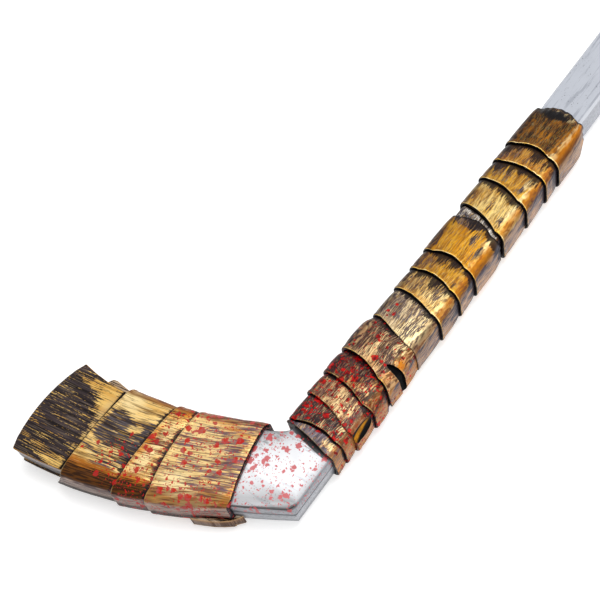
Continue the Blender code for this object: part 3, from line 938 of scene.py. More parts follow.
@dataclass(frozen=True)
class PlainFinish(Finish):
    """A hidden or plain part's finish, with a cloudy tone and grain."""

    colour: Colour
    second: Colour
    size: Triple
    roughness: float = 0.55

    def apply(self, brush: Brush) -> None:
        """Paints the grain and a few specks.

        Args:
            brush: The material to paint.
        """
        grain = brush.place.noise(self.size, 4.0, 0.6)
        dirt = brush.group(brush.effects.grime, place=brush.place, amount=0.2)
        clouds, specks = grain.rise(0.35, 0.65), dirt.specks * 0.4
        colour = brush.coats(self.colour, (clouds, self.second), (specks, self.second))
        brush.coat(colour, grain.rise(0.3, 0.7, self.roughness - 0.06, self.roughness + 0.06), grain, 0.3)


@dataclass(frozen=True)
class Bare:
    """The bare stick that the binding wraps, in millimetres of the drawing frame."""

    width: float = 30.0
    thick: float = 18.5
    hosel_end: float = 104.3
    lower_slope: float = -0.60
    lower_rise: float = 0.00142
    upper_start: float = 52.1
    upper_slope: float = -0.566
    upper_rise: float = 0.00152
    flare_start: float = 120.0
    flare_rise: float = 0.00223

    def lower_edge(self, y: float) -> float:
        """Gives x of the blade's lower edge at y."""
        return self.lower_slope * y + self.lower_rise * y * y

    def upper_edge(self, y: float) -> float:
        """Gives x of the blade's upper edge at y."""
        flare = max(0.0, y - self.flare_start)
        return self.upper_start + self.upper_slope * y + self.upper_rise * y * y + self.flare_rise * flare * flare

    def origin(self) -> Vector:
        """Gives the place of the drawing frame's origin, from the shaft's own box."""
        low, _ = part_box("shaft")
        return Vector(low) - Vector((self.hosel_end, 0.0, 0.0)) * MM


@dataclass(frozen=True)
class Edge:
    """A strap's edge at the blade side, middle and far side, and how far it slips down the far side.

    On the back face it lies where its back says, or as on the front where it has none.
    """

    near: float
    middle: float
    far: float
    slip: float = 0.0
    back: "Edge | None" = None

    def front(self, u: float) -> float:
        """Gives the station on the front face at u, from -1 at the far side to 1 at the blade side."""
        mean = (self.near + self.far) / 2
        return mean + (self.near - self.far) / 2 * u + (self.middle - mean) * (1 - u * u)

    def across(self, u: float, v: float) -> float:
        """Gives the station at u and at v, from -1 on the back face to 1 on the front face."""
        share = (1 + v) / 2
        return self.front(u) * share + (self.back or self).front(u) * (1 - share)


class Profile(Enum):
    """How high a turn stands along its length, from its tucked height (0) to its lip's (1).

    The five values are just behind the lip, at 0.45 and 0.8 of the shown length, just before
    the next lip and at the hidden end. Four in one place are for the four heights.
    """

    TAPERED = (1.0, 0.78, 0.48, 0.10, 0.0)
    BULGED = (1.0, 1.04, 0.80, 0.10, 0.0)
    GATHERED = (1.0, (0.85, 1.0, 1.0, 1.0), (0.42, 0.75, 0.85, 0.85), (0.10, 0.15, 0.32, 0.32), 0.0)
    OPEN_ENDED = (1.0, (1.0, 0.72, 1.0, 1.0), (1.0, 0.30, 0.94, 0.94), (0.92, 0.22, 0.90, 0.90), (0.6, 0.05, 0.6, 0.6))
    FLAT = (0.0, 0.0, 0.0, 0.0, 0.0)


@dataclass(frozen=True)
class Wrap:
    """What all turns share: their corners, clearances and how finely their meshes are divided."""

    round: float = 9.0
    core_round: float = 1.0
    soft: float = 1.6
    crown: float = 0.9
    clearance: float = 0.5
    shaft_clearance: float = 0.3
    thin: float = 1.0
    lip: float = 1.0
    lip_share: float = 0.14
    lip_steps: int = 6
    lip_waver: float = 0.35
    lift: float = 0.7
    ripple: float = 0.22
    evening: float = 0.035
    corner_points: int = 8
    face_step: float = 1.1
    ring_step: float = 1.0
    depth: float = 25.0
    shaft_width: float = 38.0
    blade_width: float = 48.0
    outset: float = 4.0


def pick(made: bpy.types.Object) -> None:
    """Makes an object the active one and the only one selected.

    Args:
        made: The object.
    """
    bpy.ops.object.select_all(action="DESELECT")
    bpy.context.view_layer.objects.active = made
    made.select_set(True)


def weld(then: Callable[[], object]) -> None:
    """Merges the active object's doubled points, and does one thing more to its whole mesh.

    Args:
        then: The step that follows in edit mode.
    """
    bpy.ops.object.mode_set(mode="EDIT")
    bpy.ops.mesh.select_all(action="SELECT")
    bpy.ops.mesh.remove_doubles(threshold=MERGE_REACH)
    then()
    bpy.ops.object.mode_set(mode="OBJECT")


@dataclass(frozen=True)
class Hollow:
    """An egg-shaped hollow sunk into a turn's far side, in millimetres, with its own finish.

    With a bend, it goes round the far front corner: the bend is the corner's radius.
    """

    middle: Triple
    half: Triple
    finish: HollowFinish
    reach: float = 0.0
    tilt: float = 0.0
    bend: float = 0.0
    corner: tuple[float, float] = (0.0, 0.0)
    segments: int = 48
    ring_count: int = 32

    def place(self, x: float, deep: float, along: float) -> Vector:
        """Moves one point of a unit ball to its place on the hollow.

        Args:
            x: The point along the shaft, from -1 to 1.
            deep: How far in it lies, from -1 to 1.
            along: How far up the far side it lies, from -1 to 1.

        Returns:
            The point in millimetres of the drawing frame.
        """
        along *= self.half[2] if along > 0 or not self.reach else self.reach
        turned = math.radians(self.tilt)
        step = x * self.half[0]
        if not self.bend:
            x_end = self.middle[0] + step * math.cos(turned) + along * math.sin(turned)
            z_end = self.middle[2] + along * math.cos(turned) - step * math.sin(turned)
            return Vector((x_end, self.middle[1] + deep * self.half[1], z_end))
        height = self.middle[2] + along
        out = self.bend - math.copysign(math.sqrt(abs(deep)), deep) * self.half[1]
        angle = min(max(0.0, (height - self.corner[1]) / self.bend), math.pi / 2)
        rest = height - self.corner[1] - self.bend * angle
        y = self.corner[0] - out * math.cos(angle) + max(0.0, rest)
        z = self.corner[1] + out * math.sin(angle) + min(0.0, rest)
        return Vector((self.middle[0] + step, y, z))

    def cut(self, target: bpy.types.Object, origin: Vector, effects: Effects) -> None:
        """Sinks the hollow into a turn.

        Args:
            target: The turn's mesh object.
            origin: Where the drawing frame's origin is.
            effects: The shared node groups.
        """
        bpy.ops.object.select_all(action="DESELECT")
        bpy.ops.mesh.primitive_uv_sphere_add(segments=self.segments, ring_count=self.ring_count, radius=1.0)
        tool = bpy.context.object
        ball = tool.data
        for vertex in ball.vertices:
            vertex.co = origin + self.place(*vertex.co) * MM
        inside = self.finish.material(target.name + "_hollow", effects, origin)
        for material in (target.data.materials[0], inside):
            ball.materials.append(material)
        for face in ball.polygons:
            face.material_index = 1
        target.data.materials.append(inside)
        change = target.modifiers.new("Hollow", "BOOLEAN")
        change.operation = "DIFFERENCE"
        change.solver = "EXACT"
        change.object = tool
        pick(target)
        bpy.ops.object.modifier_apply(modifier=change.name)
        bpy.data.objects.remove(tool)
        bpy.data.meshes.remove(ball)
        bpy.ops.object.shade_smooth_by_angle(angle=HOLLOW_CREASE)


class Point(NamedTuple):
    """A point of the section: its place on the inner rectangle, its outward direction and how far round it is."""

    u: float
    v: float
    du: float
    dv: float
    round: float = 0.0


class Ring(NamedTuple):
    """Where a ring of the sleeve crosses one line of the section, and how far it is from the lip and the next one."""

    place: Vector
    s: float
    lip: float
    tuck: float


@dataclass
class Turn:
    """One turn of strap: a sleeve whose lip rides over the turn below and whose end tucks away."""

    name: str
    lip: Edge
    height: Heights
    tuck: Heights
    profile: Profile
    finish: StrapFinish
    slot: str = "gold_strap"
    end: Edge = Edge(0.0, 0.0, 0.0)
    below: Heights | None = None
    lap_below: float = 6.0
    lap_above: float = 6.0
    under: Heights | None = None
    under_lap: float = 0.0
    on_blade: bool = False
    folds: float = 0.0
    hollow: Hollow | None = None
    bare: Bare = Bare()
    wrap: Wrap = Wrap()

    def section(self) -> list[Point]:
        """Places points round a rounded rectangle, from the middle of the back face.

        Returns:
            The points, the first one again at the end.
        """
        wrap = self.wrap
        wide = wrap.blade_width if self.on_blade else wrap.shaft_width
        points = []
        corners = ((-1, -1, 180), (-1, 1, 90), (1, 1, 0), (1, -1, -90))
        for index, (u, v, start) in enumerate(corners):
            turns = [math.radians(start + 90 - 90 * i / (wrap.corner_points - 1)) for i in range(wrap.corner_points)]
            points += [Point(u, v, math.cos(angle), math.sin(angle)) for angle in turns]
            next_u, next_v, _ = corners[(index + 1) % len(corners)]
            angle = math.radians(start)
            steps = round((wide if index % 2 else wrap.depth) / wrap.face_step)
            for t in (i / steps for i in range(1, steps)):
                points.append(Point(u + (next_u - u) * t, v + (next_v - v) * t, math.cos(angle), math.sin(angle)))
        half = round(wide / wrap.face_step / 2)
        points = points[-half:] + points[:-half]
        placed, along, last = [], 0.0, None
        for point in (*points, points[0]):
            spot = (point.u * wide / 2 + point.du * wrap.outset, point.v * wrap.depth / 2 + point.dv * wrap.outset)
            along += math.dist(spot, last or spot)
            last = spot
            placed.append(point._replace(round=along))
        return placed

    @staticmethod
    def station(edge: Edge, point: Point, hidden: bool = False) -> float:
        """Says where an edge lies along the stick at one point of the section.

        Args:
            edge: The edge.
            point: A point of the section.
            hidden: Whether the slip is spread evenly over the faces, as on a hidden edge.

        Returns:
            The station in millimetres.
        """
        slip = edge.slip * ((1 - point.u) / 2 if hidden else -min(0.0, point.du)) ** 2
        return edge.across(point.u, point.v) + slip

    def spot(self, point: Point, s: float, heights: Heights, extra: float = 0.0) -> Vector:
        """Places one point of the sleeve.

        Args:
            point: A point of the section.
            s: Its station along the stick.
            heights: How far the strap stands off at the blade side, the far side and the faces.
            extra: What the surface stands out further by at this point.

        Returns:
            The point in millimetres of the drawing frame.
        """
        u, v, du, dv, _ = point
        near_height, far_height, near_face, far_face = heights
        face_height = (near_face + far_face) / 2 + (near_face - far_face) / 2 * u
        low, high = (self.bare.lower_edge(-s), self.bare.upper_edge(-s)) if self.on_blade else (0.0, self.bare.width)
        low -= far_height
        high += near_height
        half = (high - low) / 2
        bulge = min(self.wrap.round, self.wrap.core_round + self.wrap.soft * min(heights))
        side = (low + high) / 2 + u * (half - bulge) + du * (bulge + extra)
        crown = self.wrap.crown * (1 - u * u) * min(1.0, face_height / 4)
        middle = self.bare.thick / 2
        z = middle + v * (middle + face_height - bulge) + dv * (bulge + extra) + math.copysign(crown, v) * abs(dv)
        return Vector((side, -s, z)) if self.on_blade else Vector((s, side, z))

    def level(self, share: float, shown: float) -> Heights:
        """Blends the turn's heights at a share of its shown length, evened out over its neighbourhood.

        Args:
            share: The share, 0 at the lip and 1 at the next one.
            shown: The shown length in millimetres.

        Returns:
            The heights there.
        """
        tucks = tuple(h + self.wrap.clearance + self.wrap.thin for h in self.under) if self.under else self.tuck
        knots = (0.0, 0.45, 0.80, 1 - min(self.wrap.lip / shown, 0.1), 1 + self.lap_above / shown)
        steps = (-2, -1, 0, 1, 2)
        result = []
        for part, (tuck, height) in enumerate(zip(tucks, self.height)):
            values = [weight[part] if isinstance(weight, tuple) else weight for weight in self.profile.value]
            total = 0.0
            for step in steps:
                at = min(knots[-1], max(0.0, share + step * self.wrap.evening))
                k = max(i for i in range(4) if knots[i] <= at) if at < knots[-1] else 3
                span = max(1e-6, knots[k + 1] - knots[k])
                total += values[k] + (values[k + 1] - values[k]) * min(1.0, (at - knots[k]) / span)
            result.append(tuck + (height - tuck) * (total / len(steps)))
        return tuple(result)

    def relief(self, s: float, t: float, lip: float, tuck: float) -> float:
        """Gives the small unevenness of the strap's surface.

        Args:
            s: The station along the stick.
            t: How far round the turn the point lies.
            lip: The distance from the turn's own lip.
            tuck: The distance to the next lip.

        Returns:
            What the surface stands out by in millimetres.
        """
        soft = self.waves(s, t, BROAD_WAVES) * self.wrap.ripple
        soft += self.waves(s, t, FINE_WAVES, 9) * self.wrap.ripple * FINE_SHARE
        bead = bell(lip, *LIP_BEAD) - bell(lip, *LIP_GROOVE)
        gather = 0.0
        if self.folds:
            close = drop(tuck, 11.0, 1.0)
            gather = self.folds * close * (self.waves(s, t, FOLD_WAVES, 4) + FOLD_SHIFT)
        return (soft + bead) * drop(tuck, -0.5, 3.0) + gather

    def waves(self, s: float, t: float, sizes: tuple[float, float], shift: float = 0.0) -> float:
        """Gives a smooth unevenness that is the turn's own.

        Args:
            s: The station along the stick.
            t: How far round the turn the point lies.
            sizes: How long the waves are along and round the turn.
            shift: What sets these waves apart from the turn's others.

        Returns:
            The height, from about -1 to 1.
        """
        return noise.noise(Vector((s / sizes[0], t / sizes[1], self.finish.seed * 3.7 + shift)))

    def rings(self, point: Point, count: int) -> list[Ring]:
        """Places the points of the sleeve along one line of the section.

        Args:
            point: A point of the section.
            count: How many rings the outer side has behind the lip.

        Returns:
            The rings, round the lip, along the outer side and back along the inner side.
        """
        wrap, steps = self.wrap, self.wrap.lip_steps
        low = self.station(self.lip, point)
        low += noise.noise(Vector((point.round / 9, self.finish.seed * 2.1, 0.0))) * wrap.lip_waver
        end = self.station(self.end, point)
        shown = end - low
        last = self.station(self.end, point, hidden=True) + self.lap_above
        reach = (last - low) / shown
        flat = (wrap.clearance if self.on_blade else wrap.shaft_clearance,) * 4
        floor = tuple(h + wrap.clearance for h in self.below) if self.below else flat
        top = self.level(0.0, shown)
        nose = min(wrap.lip, wrap.lip_share * shown)
        out = []
        for step in range(steps + 1):
            angle = math.radians(-90 + 180 * step / steps)
            share = (1 + math.sin(angle)) / 2
            heights = tuple(a + (b - a) * share for a, b in zip(floor, top))
            s = low + nose * (1 - math.cos(angle) ** 0.7 if math.cos(angle) > 0 else 1.0)
            extra = self.relief(s, point.round, 0.0, shown) * share
            lip = UNDER_LIP if step < 4 else (share - 0.93) * 7
            out.append(Ring(self.spot(point, s, heights, extra), s, lip, shown))
        start = nose / shown
        for i in range(1, count + 1):
            share = start + (reach - start) * i / count
            s = low + shown * share
            extra = self.relief(s, point.round, s - low, end - s)
            out.append(Ring(self.spot(point, s, self.level(share, shown), extra), s, s - low, end - s))
        hidden = []
        if self.under:
            lifted = tuple(h + wrap.clearance for h in self.under)
            hidden += [(last, lifted), (end - self.under_lap, lifted)]
            last = end - self.under_lap - wrap.lift
        covered = self.station(self.lip, point, hidden=True) + self.lap_below
        inner = covered + 2 * wrap.lift if self.below else low + nose
        hidden += [(last, flat), *((last + (inner - last) * i / 4, flat) for i in (1, 2, 3)), (inner, flat)]
        if self.below:
            hidden.append((covered + wrap.lift, floor))
        return out + [Ring(self.spot(point, s, heights), s, INSIDE, PAST_TUCK) for s, heights in hidden]

    def build(self, origin: Vector, effects: Effects) -> bpy.types.Object:
        """Wraps a grid round the stick as this turn, and dresses it.

        Args:
            origin: Where the drawing frame's origin is.
            effects: The shared node groups.

        Returns:
            The finished piece.
        """
        section = self.section()
        middle = section[len(section) // 2]
        shown = self.station(self.end, middle) - self.station(self.lip, middle)
        lines = [self.rings(point, round((shown + self.lap_above) / self.wrap.ring_step)) for point in section]
        deep, wide = len(lines[0]), len(section) - 1
        bpy.ops.object.select_all(action="DESELECT")
        bpy.ops.mesh.primitive_grid_add(x_subdivisions=wide, y_subdivisions=deep, size=1.0)
        made = bpy.context.object
        made.name = self.name + "_strap"
        mesh = made.data
        mesh.name = made.name
        for name in ("run", "edges"):
            mesh.uv_layers.new(name=name)
        mesh.uv_layers.remove(mesh.uv_layers["UVMap"])
        run, edges = mesh.uv_layers["run"], mesh.uv_layers["edges"]
        facing = mesh.attributes.new("facing", "FLOAT_VECTOR", "POINT")
        cells = []
        for vertex in mesh.vertices:
            column, row = round((vertex.co.x + 0.5) * wide), round((vertex.co.y + 0.5) * deep) % deep
            point, ring = section[column], lines[column][row]
            cells.append((point, ring))
            vertex.co = origin + ring.place * MM
            facing.data[vertex.index].vector = (point.du, point.dv, point.u)
        for loop in mesh.loops:
            point, ring = cells[loop.vertex_index]
            run.data[loop.index].uv = (ring.s * MM, point.round * MM)
            edges.data[loop.index].uv = (ring.lip * MM, ring.tuck * MM)
        weld(lambda: bpy.ops.mesh.normals_make_consistent(inside=False))
        bpy.ops.object.shade_smooth()
        made.data.materials.append(self.finish.material(made.name, effects, origin))
        if self.hollow:
            self.hollow.cut(made, origin, effects)
        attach(made, "root")
        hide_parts(self.name)
        return made


@dataclass
class Moulding:
    """A hard part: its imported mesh, made smooth and dressed."""

    node: str
    name: str
    finish: Finish
    slot: str

    def build(self, origin: Vector, effects: Effects) -> bpy.types.Object:
        """Copies the node's mesh, merges and smooths it and dresses it.

        Args:
            origin: Where the drawing frame's origin is.
            effects: The shared node groups.

        Returns:
            The finished piece.
        """
        made = bpy.data.objects.new(self.name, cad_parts[self.node].data.copy())
        made.data.name = self.name
        made.data.materials.clear()
        bpy.context.scene.collection.objects.link(made)
        pick(made)
        weld(lambda: bpy.ops.mesh.dissolve_limited(angle_limit=FLAT_LIMIT))
        bpy.ops.object.shade_smooth_by_angle(angle=HARD_CREASE)
        made.data.materials.append(self.finish.material(self.name, effects, origin))
        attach(made, "root")
        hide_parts(self.node)
        return made


class Assembly:
    """A sub-assembly, whose pieces are built in order."""

    pieces: list[Turn] | list[Moulding]

    def build(self, origin: Vector, effects: Effects) -> list[bpy.types.Object]:
        """Builds every piece.

        Args:
            origin: Where the drawing frame's origin is.
            effects: The shared node groups.

        Returns:
            The finished pieces.
        """
        return [piece.build(origin, effects) for piece in self.pieces]


class ShaftStraps(Assembly):
    """The turns up the shaft, each lip over the turn below it."""

    eased: float = 1.6
    first_gold: int = 5

    def __init__(self) -> None:
        """Lists the turns from the heel up and says what each lies over."""
        gold = StrapFinish(0.0, cover=0.72, smear=6.5)
        low = StrapFinish(
            0.0, cover=0.2, smear=1.6, amber=paint(176, 128, 86), yellow=paint(226, 184, 130), base=paint(54, 38, 42),
            grey=paint(96, 76, 84), glint=0.6, glint_colour=paint(214, 176, 134), line_strength=0.2,
            far=paint(206, 140, 72), far_cover=0.75, ridge=0.3, sparkle=0.4, rim=0.12, shine=0.2,
            near_shade_colour=paint(36, 18, 20), left=0.35, left_colour=paint(70, 40, 40), red=paint(214, 8, 8),
            red_dark=paint(92, 2, 6))
        rows = (
            ("00_fold", Edge(40.8, 38.4, 35.0), (6.0, 2.6, 4.2, 4.2), (4.6, 1.4, 2.4, 2.4), Profile.TAPERED, dict(
                cover=-0.2, base=paint(84, 74, 82), grey=paint(146, 136, 148), ridge=0.6, spatter=0.16, rim=0.0,
                left=0.1, glint=0.1,
                blots=((44.9, 14.3, 1.0), (39.6, -1.4, 0.7)),
                patches=((40.6, 2.8, 3, 6, 1.0), (36.2, -4.8, 5, 4, 1.0)),
                creams=((41.6, 2.8, 3, 5, 0.8),))),
            ("01", Edge(43.2, 46.4, 44.2), (6.4, 3.2, 4.4, 3.9), (5.2, 1.8, 2.8, 2.1), Profile.TAPERED, dict(
                cover=-0.05, spatter=0.66, base=paint(40, 26, 28), grey=paint(82, 68, 72), tuck_fade=-0.1,
                patches=((52.7, 4.5, 4, 3.5, 0.45),),
                creams=((52.7, 4.5, 4, 4, 0.9),),
                blots=((54.3, 30.1, 1.6), (50.8, 28.7, 1.4), (57.7, 29.2, 0.9), (48.8, 24.6, 0.9),
                       (47.4, 30.1, 0.7)))),
            ("02", Edge(62.0, 59.4, 53.6), (7.0, 4.6, 4.8, 3.2), (5.4, 3.2, 2.8, 2.6), Profile.TAPERED, dict(
                cover=0.5, smear=2.0, spatter=0.6, lip_fade=-0.1, base=paint(88, 54, 46), grey=paint(118, 84, 80),
                patches=((60.4, 1.5, 14, 3.5, -1.2), (70.0, 15.2, 8, 8, 0.1), (64.8, 3.3, 4, 4, 0.3),
                         (62.8, -4.4, 12, 4, -0.4)),
                creams=((68.0, 14.0, 9, 9, 0.35),),
                blots=((65.1, 12.2, 1.2), (62.9, 9.2, 1.2), (69.8, 11.5, 1.2), (54.9, 7.0, 1.2), (69.5, 23.2, 0.9),
                       (74.0, 22.3, 1.1), (74.3, 27.9, 0.8)))),
            ("03", Edge(78.2, 76.4, 71.4), (7.6, 5.4, 5.0, 4.6), (4.8, 2.6, 2.4, 2.4), Profile.BULGED, dict(
                cover=0.0, smear=4.0, spatter=0.8, base=paint(44, 20, 20), grey=paint(84, 58, 60),
                amber=paint(156, 98, 54), yellow=paint(206, 146, 84), glint=0.35, rim=0.3, line_strength=0.4,
                patches=((79.9, 14.2, 3.5, 9, 0.4), (80.0, 5.7, 4, 5, 0.3), (91.0, 14.7, 5, 10, -0.3)),
                creams=((80.0, 5.7, 4, 5, 0.6),),
                blots=((89.2, 26.0, 1.0), (83.8, 24.9, 1.2), (87.9, 20.3, 1.2), (93.3, 22.0, 0.9),
                       (89.8, 30.1, 0.8)))),
            ("04", Edge(96.8, 95.0, 89.6, -3.2), (7.6, 5.0, 5.4, 5.0), (2.6, 3.4, 2.6, 2.9), Profile.BULGED, dict(
                cover=0.3, smear=4.0, spatter=0.24, base=paint(60, 38, 30), grey=paint(102, 78, 72), rim=0.3,
                amber=paint(170, 114, 74), line_strength=0.5, tuck_fade=-0.4,
                patches=((115.4, 31.5, 8, 4, 0.4), (112.6, 3.7, 6, 5, 0.2), (98.9, 12.7, 4, 6, 0.3),
                         (104.8, -1.7, 6, 4, 0.6), (118.6, 13.9, 4, 11, -0.4), (94.0, 2.0, 5, 5, 0.4)),
                creams=((112.6, 3.7, 7, 6, 0.7), (104.0, 14.0, 10, 8, 0.4)),
                glows=((104.8, -1.7, 4, 4.5, 0.9), (98.0, 12.7, 4, 6, 0.4)),
                blots=((112.4, 19.4, 1.5), (111.0, 17.4, 0.9), (120.2, 27.7, 0.9), (101.7, 29.7, 0.8),
                       (115.8, 7.0, 0.7), (99.1, 5.2, 0.9), (94.8, 4.1, 0.8)))),
            ("05", Edge(125.4, 121.0, 115.6), (4.4, 4.5, 4.4, 3.9), (2.8, 3.9, 2.8, 2.8), Profile.TAPERED, dict(
                cover=0.5, smear=3.0, base=paint(92, 74, 70), left_colour=paint(80, 64, 64), ridge=0.8,
                ridge_colour=paint(66, 42, 26), line_strength=0.5, lip_fade=-0.4, amber=paint(198, 168, 126),
                yellow=paint(234, 208, 164), shine=0.2, grey=paint(124, 116, 122), rim=0.2, far_cover=0.5,
                patches=((132.2, 0.0, 12, 5, 0.2), (136.5, 20.0, 9, 8, -0.2), (125.9, 21.4, 3, 6, 0.3),
                         (122.7, 7.5, 7, 6, 0.2)),
                creams=((132.2, 2.0, 14, 9, 0.7), (122.7, 8.5, 9, 9, 0.7)),
                blots=((137.6, 23.7, 1.0), (131.3, 25.9, 1.2), (131.1, 21.3, 1.0), (128.1, 24.2, 0.9)))),
            ("06", Edge(148.0, 146.2, 140.2), (4.6, 5.9, 4.6, 4.6), (2.6, 4.2, 2.8, 2.8), Profile.TAPERED, dict(
                cover=0.6, amber=paint(214, 160, 70), yellow=paint(240, 200, 122), base=paint(84, 64, 54),
                patches=((155.1, 5.9, 7, 4, -0.3), (149.3, 8.3, 4, 6, 0.2), (155.2, 26.4, 7, 6, -0.15)),
                creams=((158.0, 2.4, 6, 3, 0.7), (152.0, 9.0, 5, 6, 0.4)),
                glows=((146.5, 24.0, 3, 14, 0.7),))),
            ("07", Edge(165.0, 165.8, 160.2), (4.4, 6.0, 4.6, 4.6), (3.0, 4.2, 2.8, 2.8), Profile.TAPERED, dict(
                amber=paint(182, 122, 28), yellow=paint(212, 156, 44), left=0.8, sparkle=0.12,
                patches=((170.1, 7.9, 7, 8, 0.35), (172.8, 26.1, 7, 8, -0.2)))),
            ("08", Edge(180.8, 183.0, 177.6), (4.8, 6.2, 4.8, 4.8), (2.4, 4.6, 2.8, 2.8), Profile.GATHERED, dict(
                cover=0.95, scratch=0.3, sparkle=0.08, grain=0.3, patchy=1.4, amber=paint(198, 132, 18),
                yellow=paint(222, 162, 34),
                patches=((193.0, 18.0, 16, 10, 0.2), (191.0, 30.2, 8, 4, -0.8), (200.2, 8.5, 6, 2.6, -1.0),
                         (193.2, 1.0, 6, 2.4, -0.9), (209.6, 17.0, 4.6, 12, -2.0)),
                creams=((203.0, -0.5, 10, 3, 0.8),))),
            ("09", Edge(221.6, 218.4, 210.0), (3.8, 6.0, 4.2, 4.2), (2.6, 4.6, 2.6, 2.6), Profile.TAPERED, dict(
                cover=0.88, smear=5.5, shine=0.9, amber=paint(220, 164, 64), yellow=paint(242, 208, 126),
                patches=((227.7, 13.9, 6, 8, -0.25), (232.2, 25.4, 8, 5, 0.2), (220.5, 2.5, 4.5, 2.6, -0.8),
                         (228.7, -0.3, 10, 2.4, 0.5)),
                creams=((228.7, -0.3, 10, 2.6, 0.9),))),
            ("10", Edge(244.6, 243.4, 236.6), (4.4, 6.6, 4.4, 4.4), (2.6, 4.8, 2.6, 2.6), Profile.TAPERED, dict(
                cover=0.66, smear=7.5, shine=0.7, sparkle=0.15, amber=paint(190, 126, 26), yellow=paint(222, 166, 54),
                patches=((253.9, 23.7, 6, 8, -0.25), (250.7, 9.1, 7, 6, 0.3), (246.0, 3.2, 4, 1.8, -0.9)),
                creams=((252.3, 2.3, 6, 2.4, 0.9),))),
            ("11", Edge(261.4, 263.0, 259.6), (4.4, 6.8, 4.4, 4.4), (2.8, 4.8, 2.8, 2.8), Profile.TAPERED, dict(
                cover=0.76, sparkle=0.15, amber=paint(178, 112, 34), yellow=paint(216, 158, 62), smear=8.0,
                patches=((268.7, 26.3, 5, 6, -0.2), (266.1, 4.3, 6, 6, 0.3)))),
            ("12_top", Edge(277.6, 280.2, 275.0), (4.8, 6.8, 4.8, 4.8), (1.2, 2.0, 1.4, 1.4), Profile.GATHERED, dict(
                cover=0.5, patchy=2.2, softness=0.14, sparkle=0.06, scratch=0.8, smear=1.5, gap=0.8,
                amber=paint(106, 62, 6), yellow=paint(168, 106, 16), base=paint(20, 12, 10), grey=paint(48, 32, 24),
                glint=0.12, left=0.6, left_colour=paint(44, 26, 14),
                darks=((309.6, 15.5, 4.6, 9, 1.8, 12), (311.0, 24.0, 3.5, 5, 1.2), (308.0, 8.0, 3.0, 4, 0.7)),
                patches=((288.3, 0.1, 11, 4, 0.3), (310.6, 15.0, 5.0, 11, -3.0, 12), (313.0, 25.0, 4, 7, -2.0),
                         (311.0, 5.6, 4.0, 3.0, 0.8), (312.2, 10.0, 3.0, 1.6, 2.6), (313.2, 16.0, 2.4, 1.6, 2.4)),
                creams=((311.0, 5.6, 4.0, 2.6, 0.9), (312.2, 10.0, 3.0, 1.6, 0.8), (313.2, 16.0, 2.4, 1.6, 0.7)))),
        )
        turns = []
        for index, (name, *shape, own) in enumerate(rows):
            common, slot = (low, "dark_strap") if index < self.first_gold else (gold, "gold_strap")
            turns.append(Turn(f"shaft_strap_{name}", *shape, replace(common, seed=float(index), **own), slot=slot))
        for turn in turns[self.first_gold:]:
            turn.lip = replace(turn.lip, far=turn.lip.far + self.eased, slip=-self.eased)
        for lower, upper in zip(turns, turns[1:]):
            lower.end = upper.lip
            upper.below = lower.tuck
        under = (1.0, 3.0, 1.3, 1.3)
        turns[8].end, turns[8].lap_above, turns[8].folds = Edge(211.0, 213.4, 207.6), 0.0, 1.1
        turns[8].under, turns[8].under_lap, turns[9].below = under, 9.0, under
        turns[12].end, turns[12].lap_above, turns[12].folds = Edge(313.0, 317.2, 312.6), 0.0, 1.2
        turns[2].hollow = Hollow(
            (60.4, -5.2, 16.5), (12.6, 2.9, 7.8), tilt=8.0,
            finish=HollowFinish(paint(214, 142, 30), (59.0, -4.0, 14.5), (10.4, 4.0, 2.8), turn=-14.0))
        turns[4].hollow = Hollow(
            (99.8, 0.0, 17.0), (2.7, 3.2, 12.4), reach=25.0, bend=9.0, corner=(4.0, 14.6),
            finish=HollowFinish(paint(52, 50, 60), (97.5, -3.5, 21.0), (1.6, 6.0, 6.0)))
        dusty = StrapFinish(
            20.0, cover=0.62, patchy=1.6, grain=1.0, smear=1.6, gap=0.5, amber=paint(156, 146, 140),
            yellow=paint(236, 232, 224), base=paint(36, 32, 44), grey=paint(84, 80, 92), left=0.0,
            patches=((213.0, 24.0, 5, 6, -0.8),))
        turns.append(Turn("shaft_strap_08_under", Edge(205.0, 206.0, 200.0), under, under, Profile.FLAT, dusty,
                          slot="dark_strap", end=turns[9].lip))
        self.pieces = turns


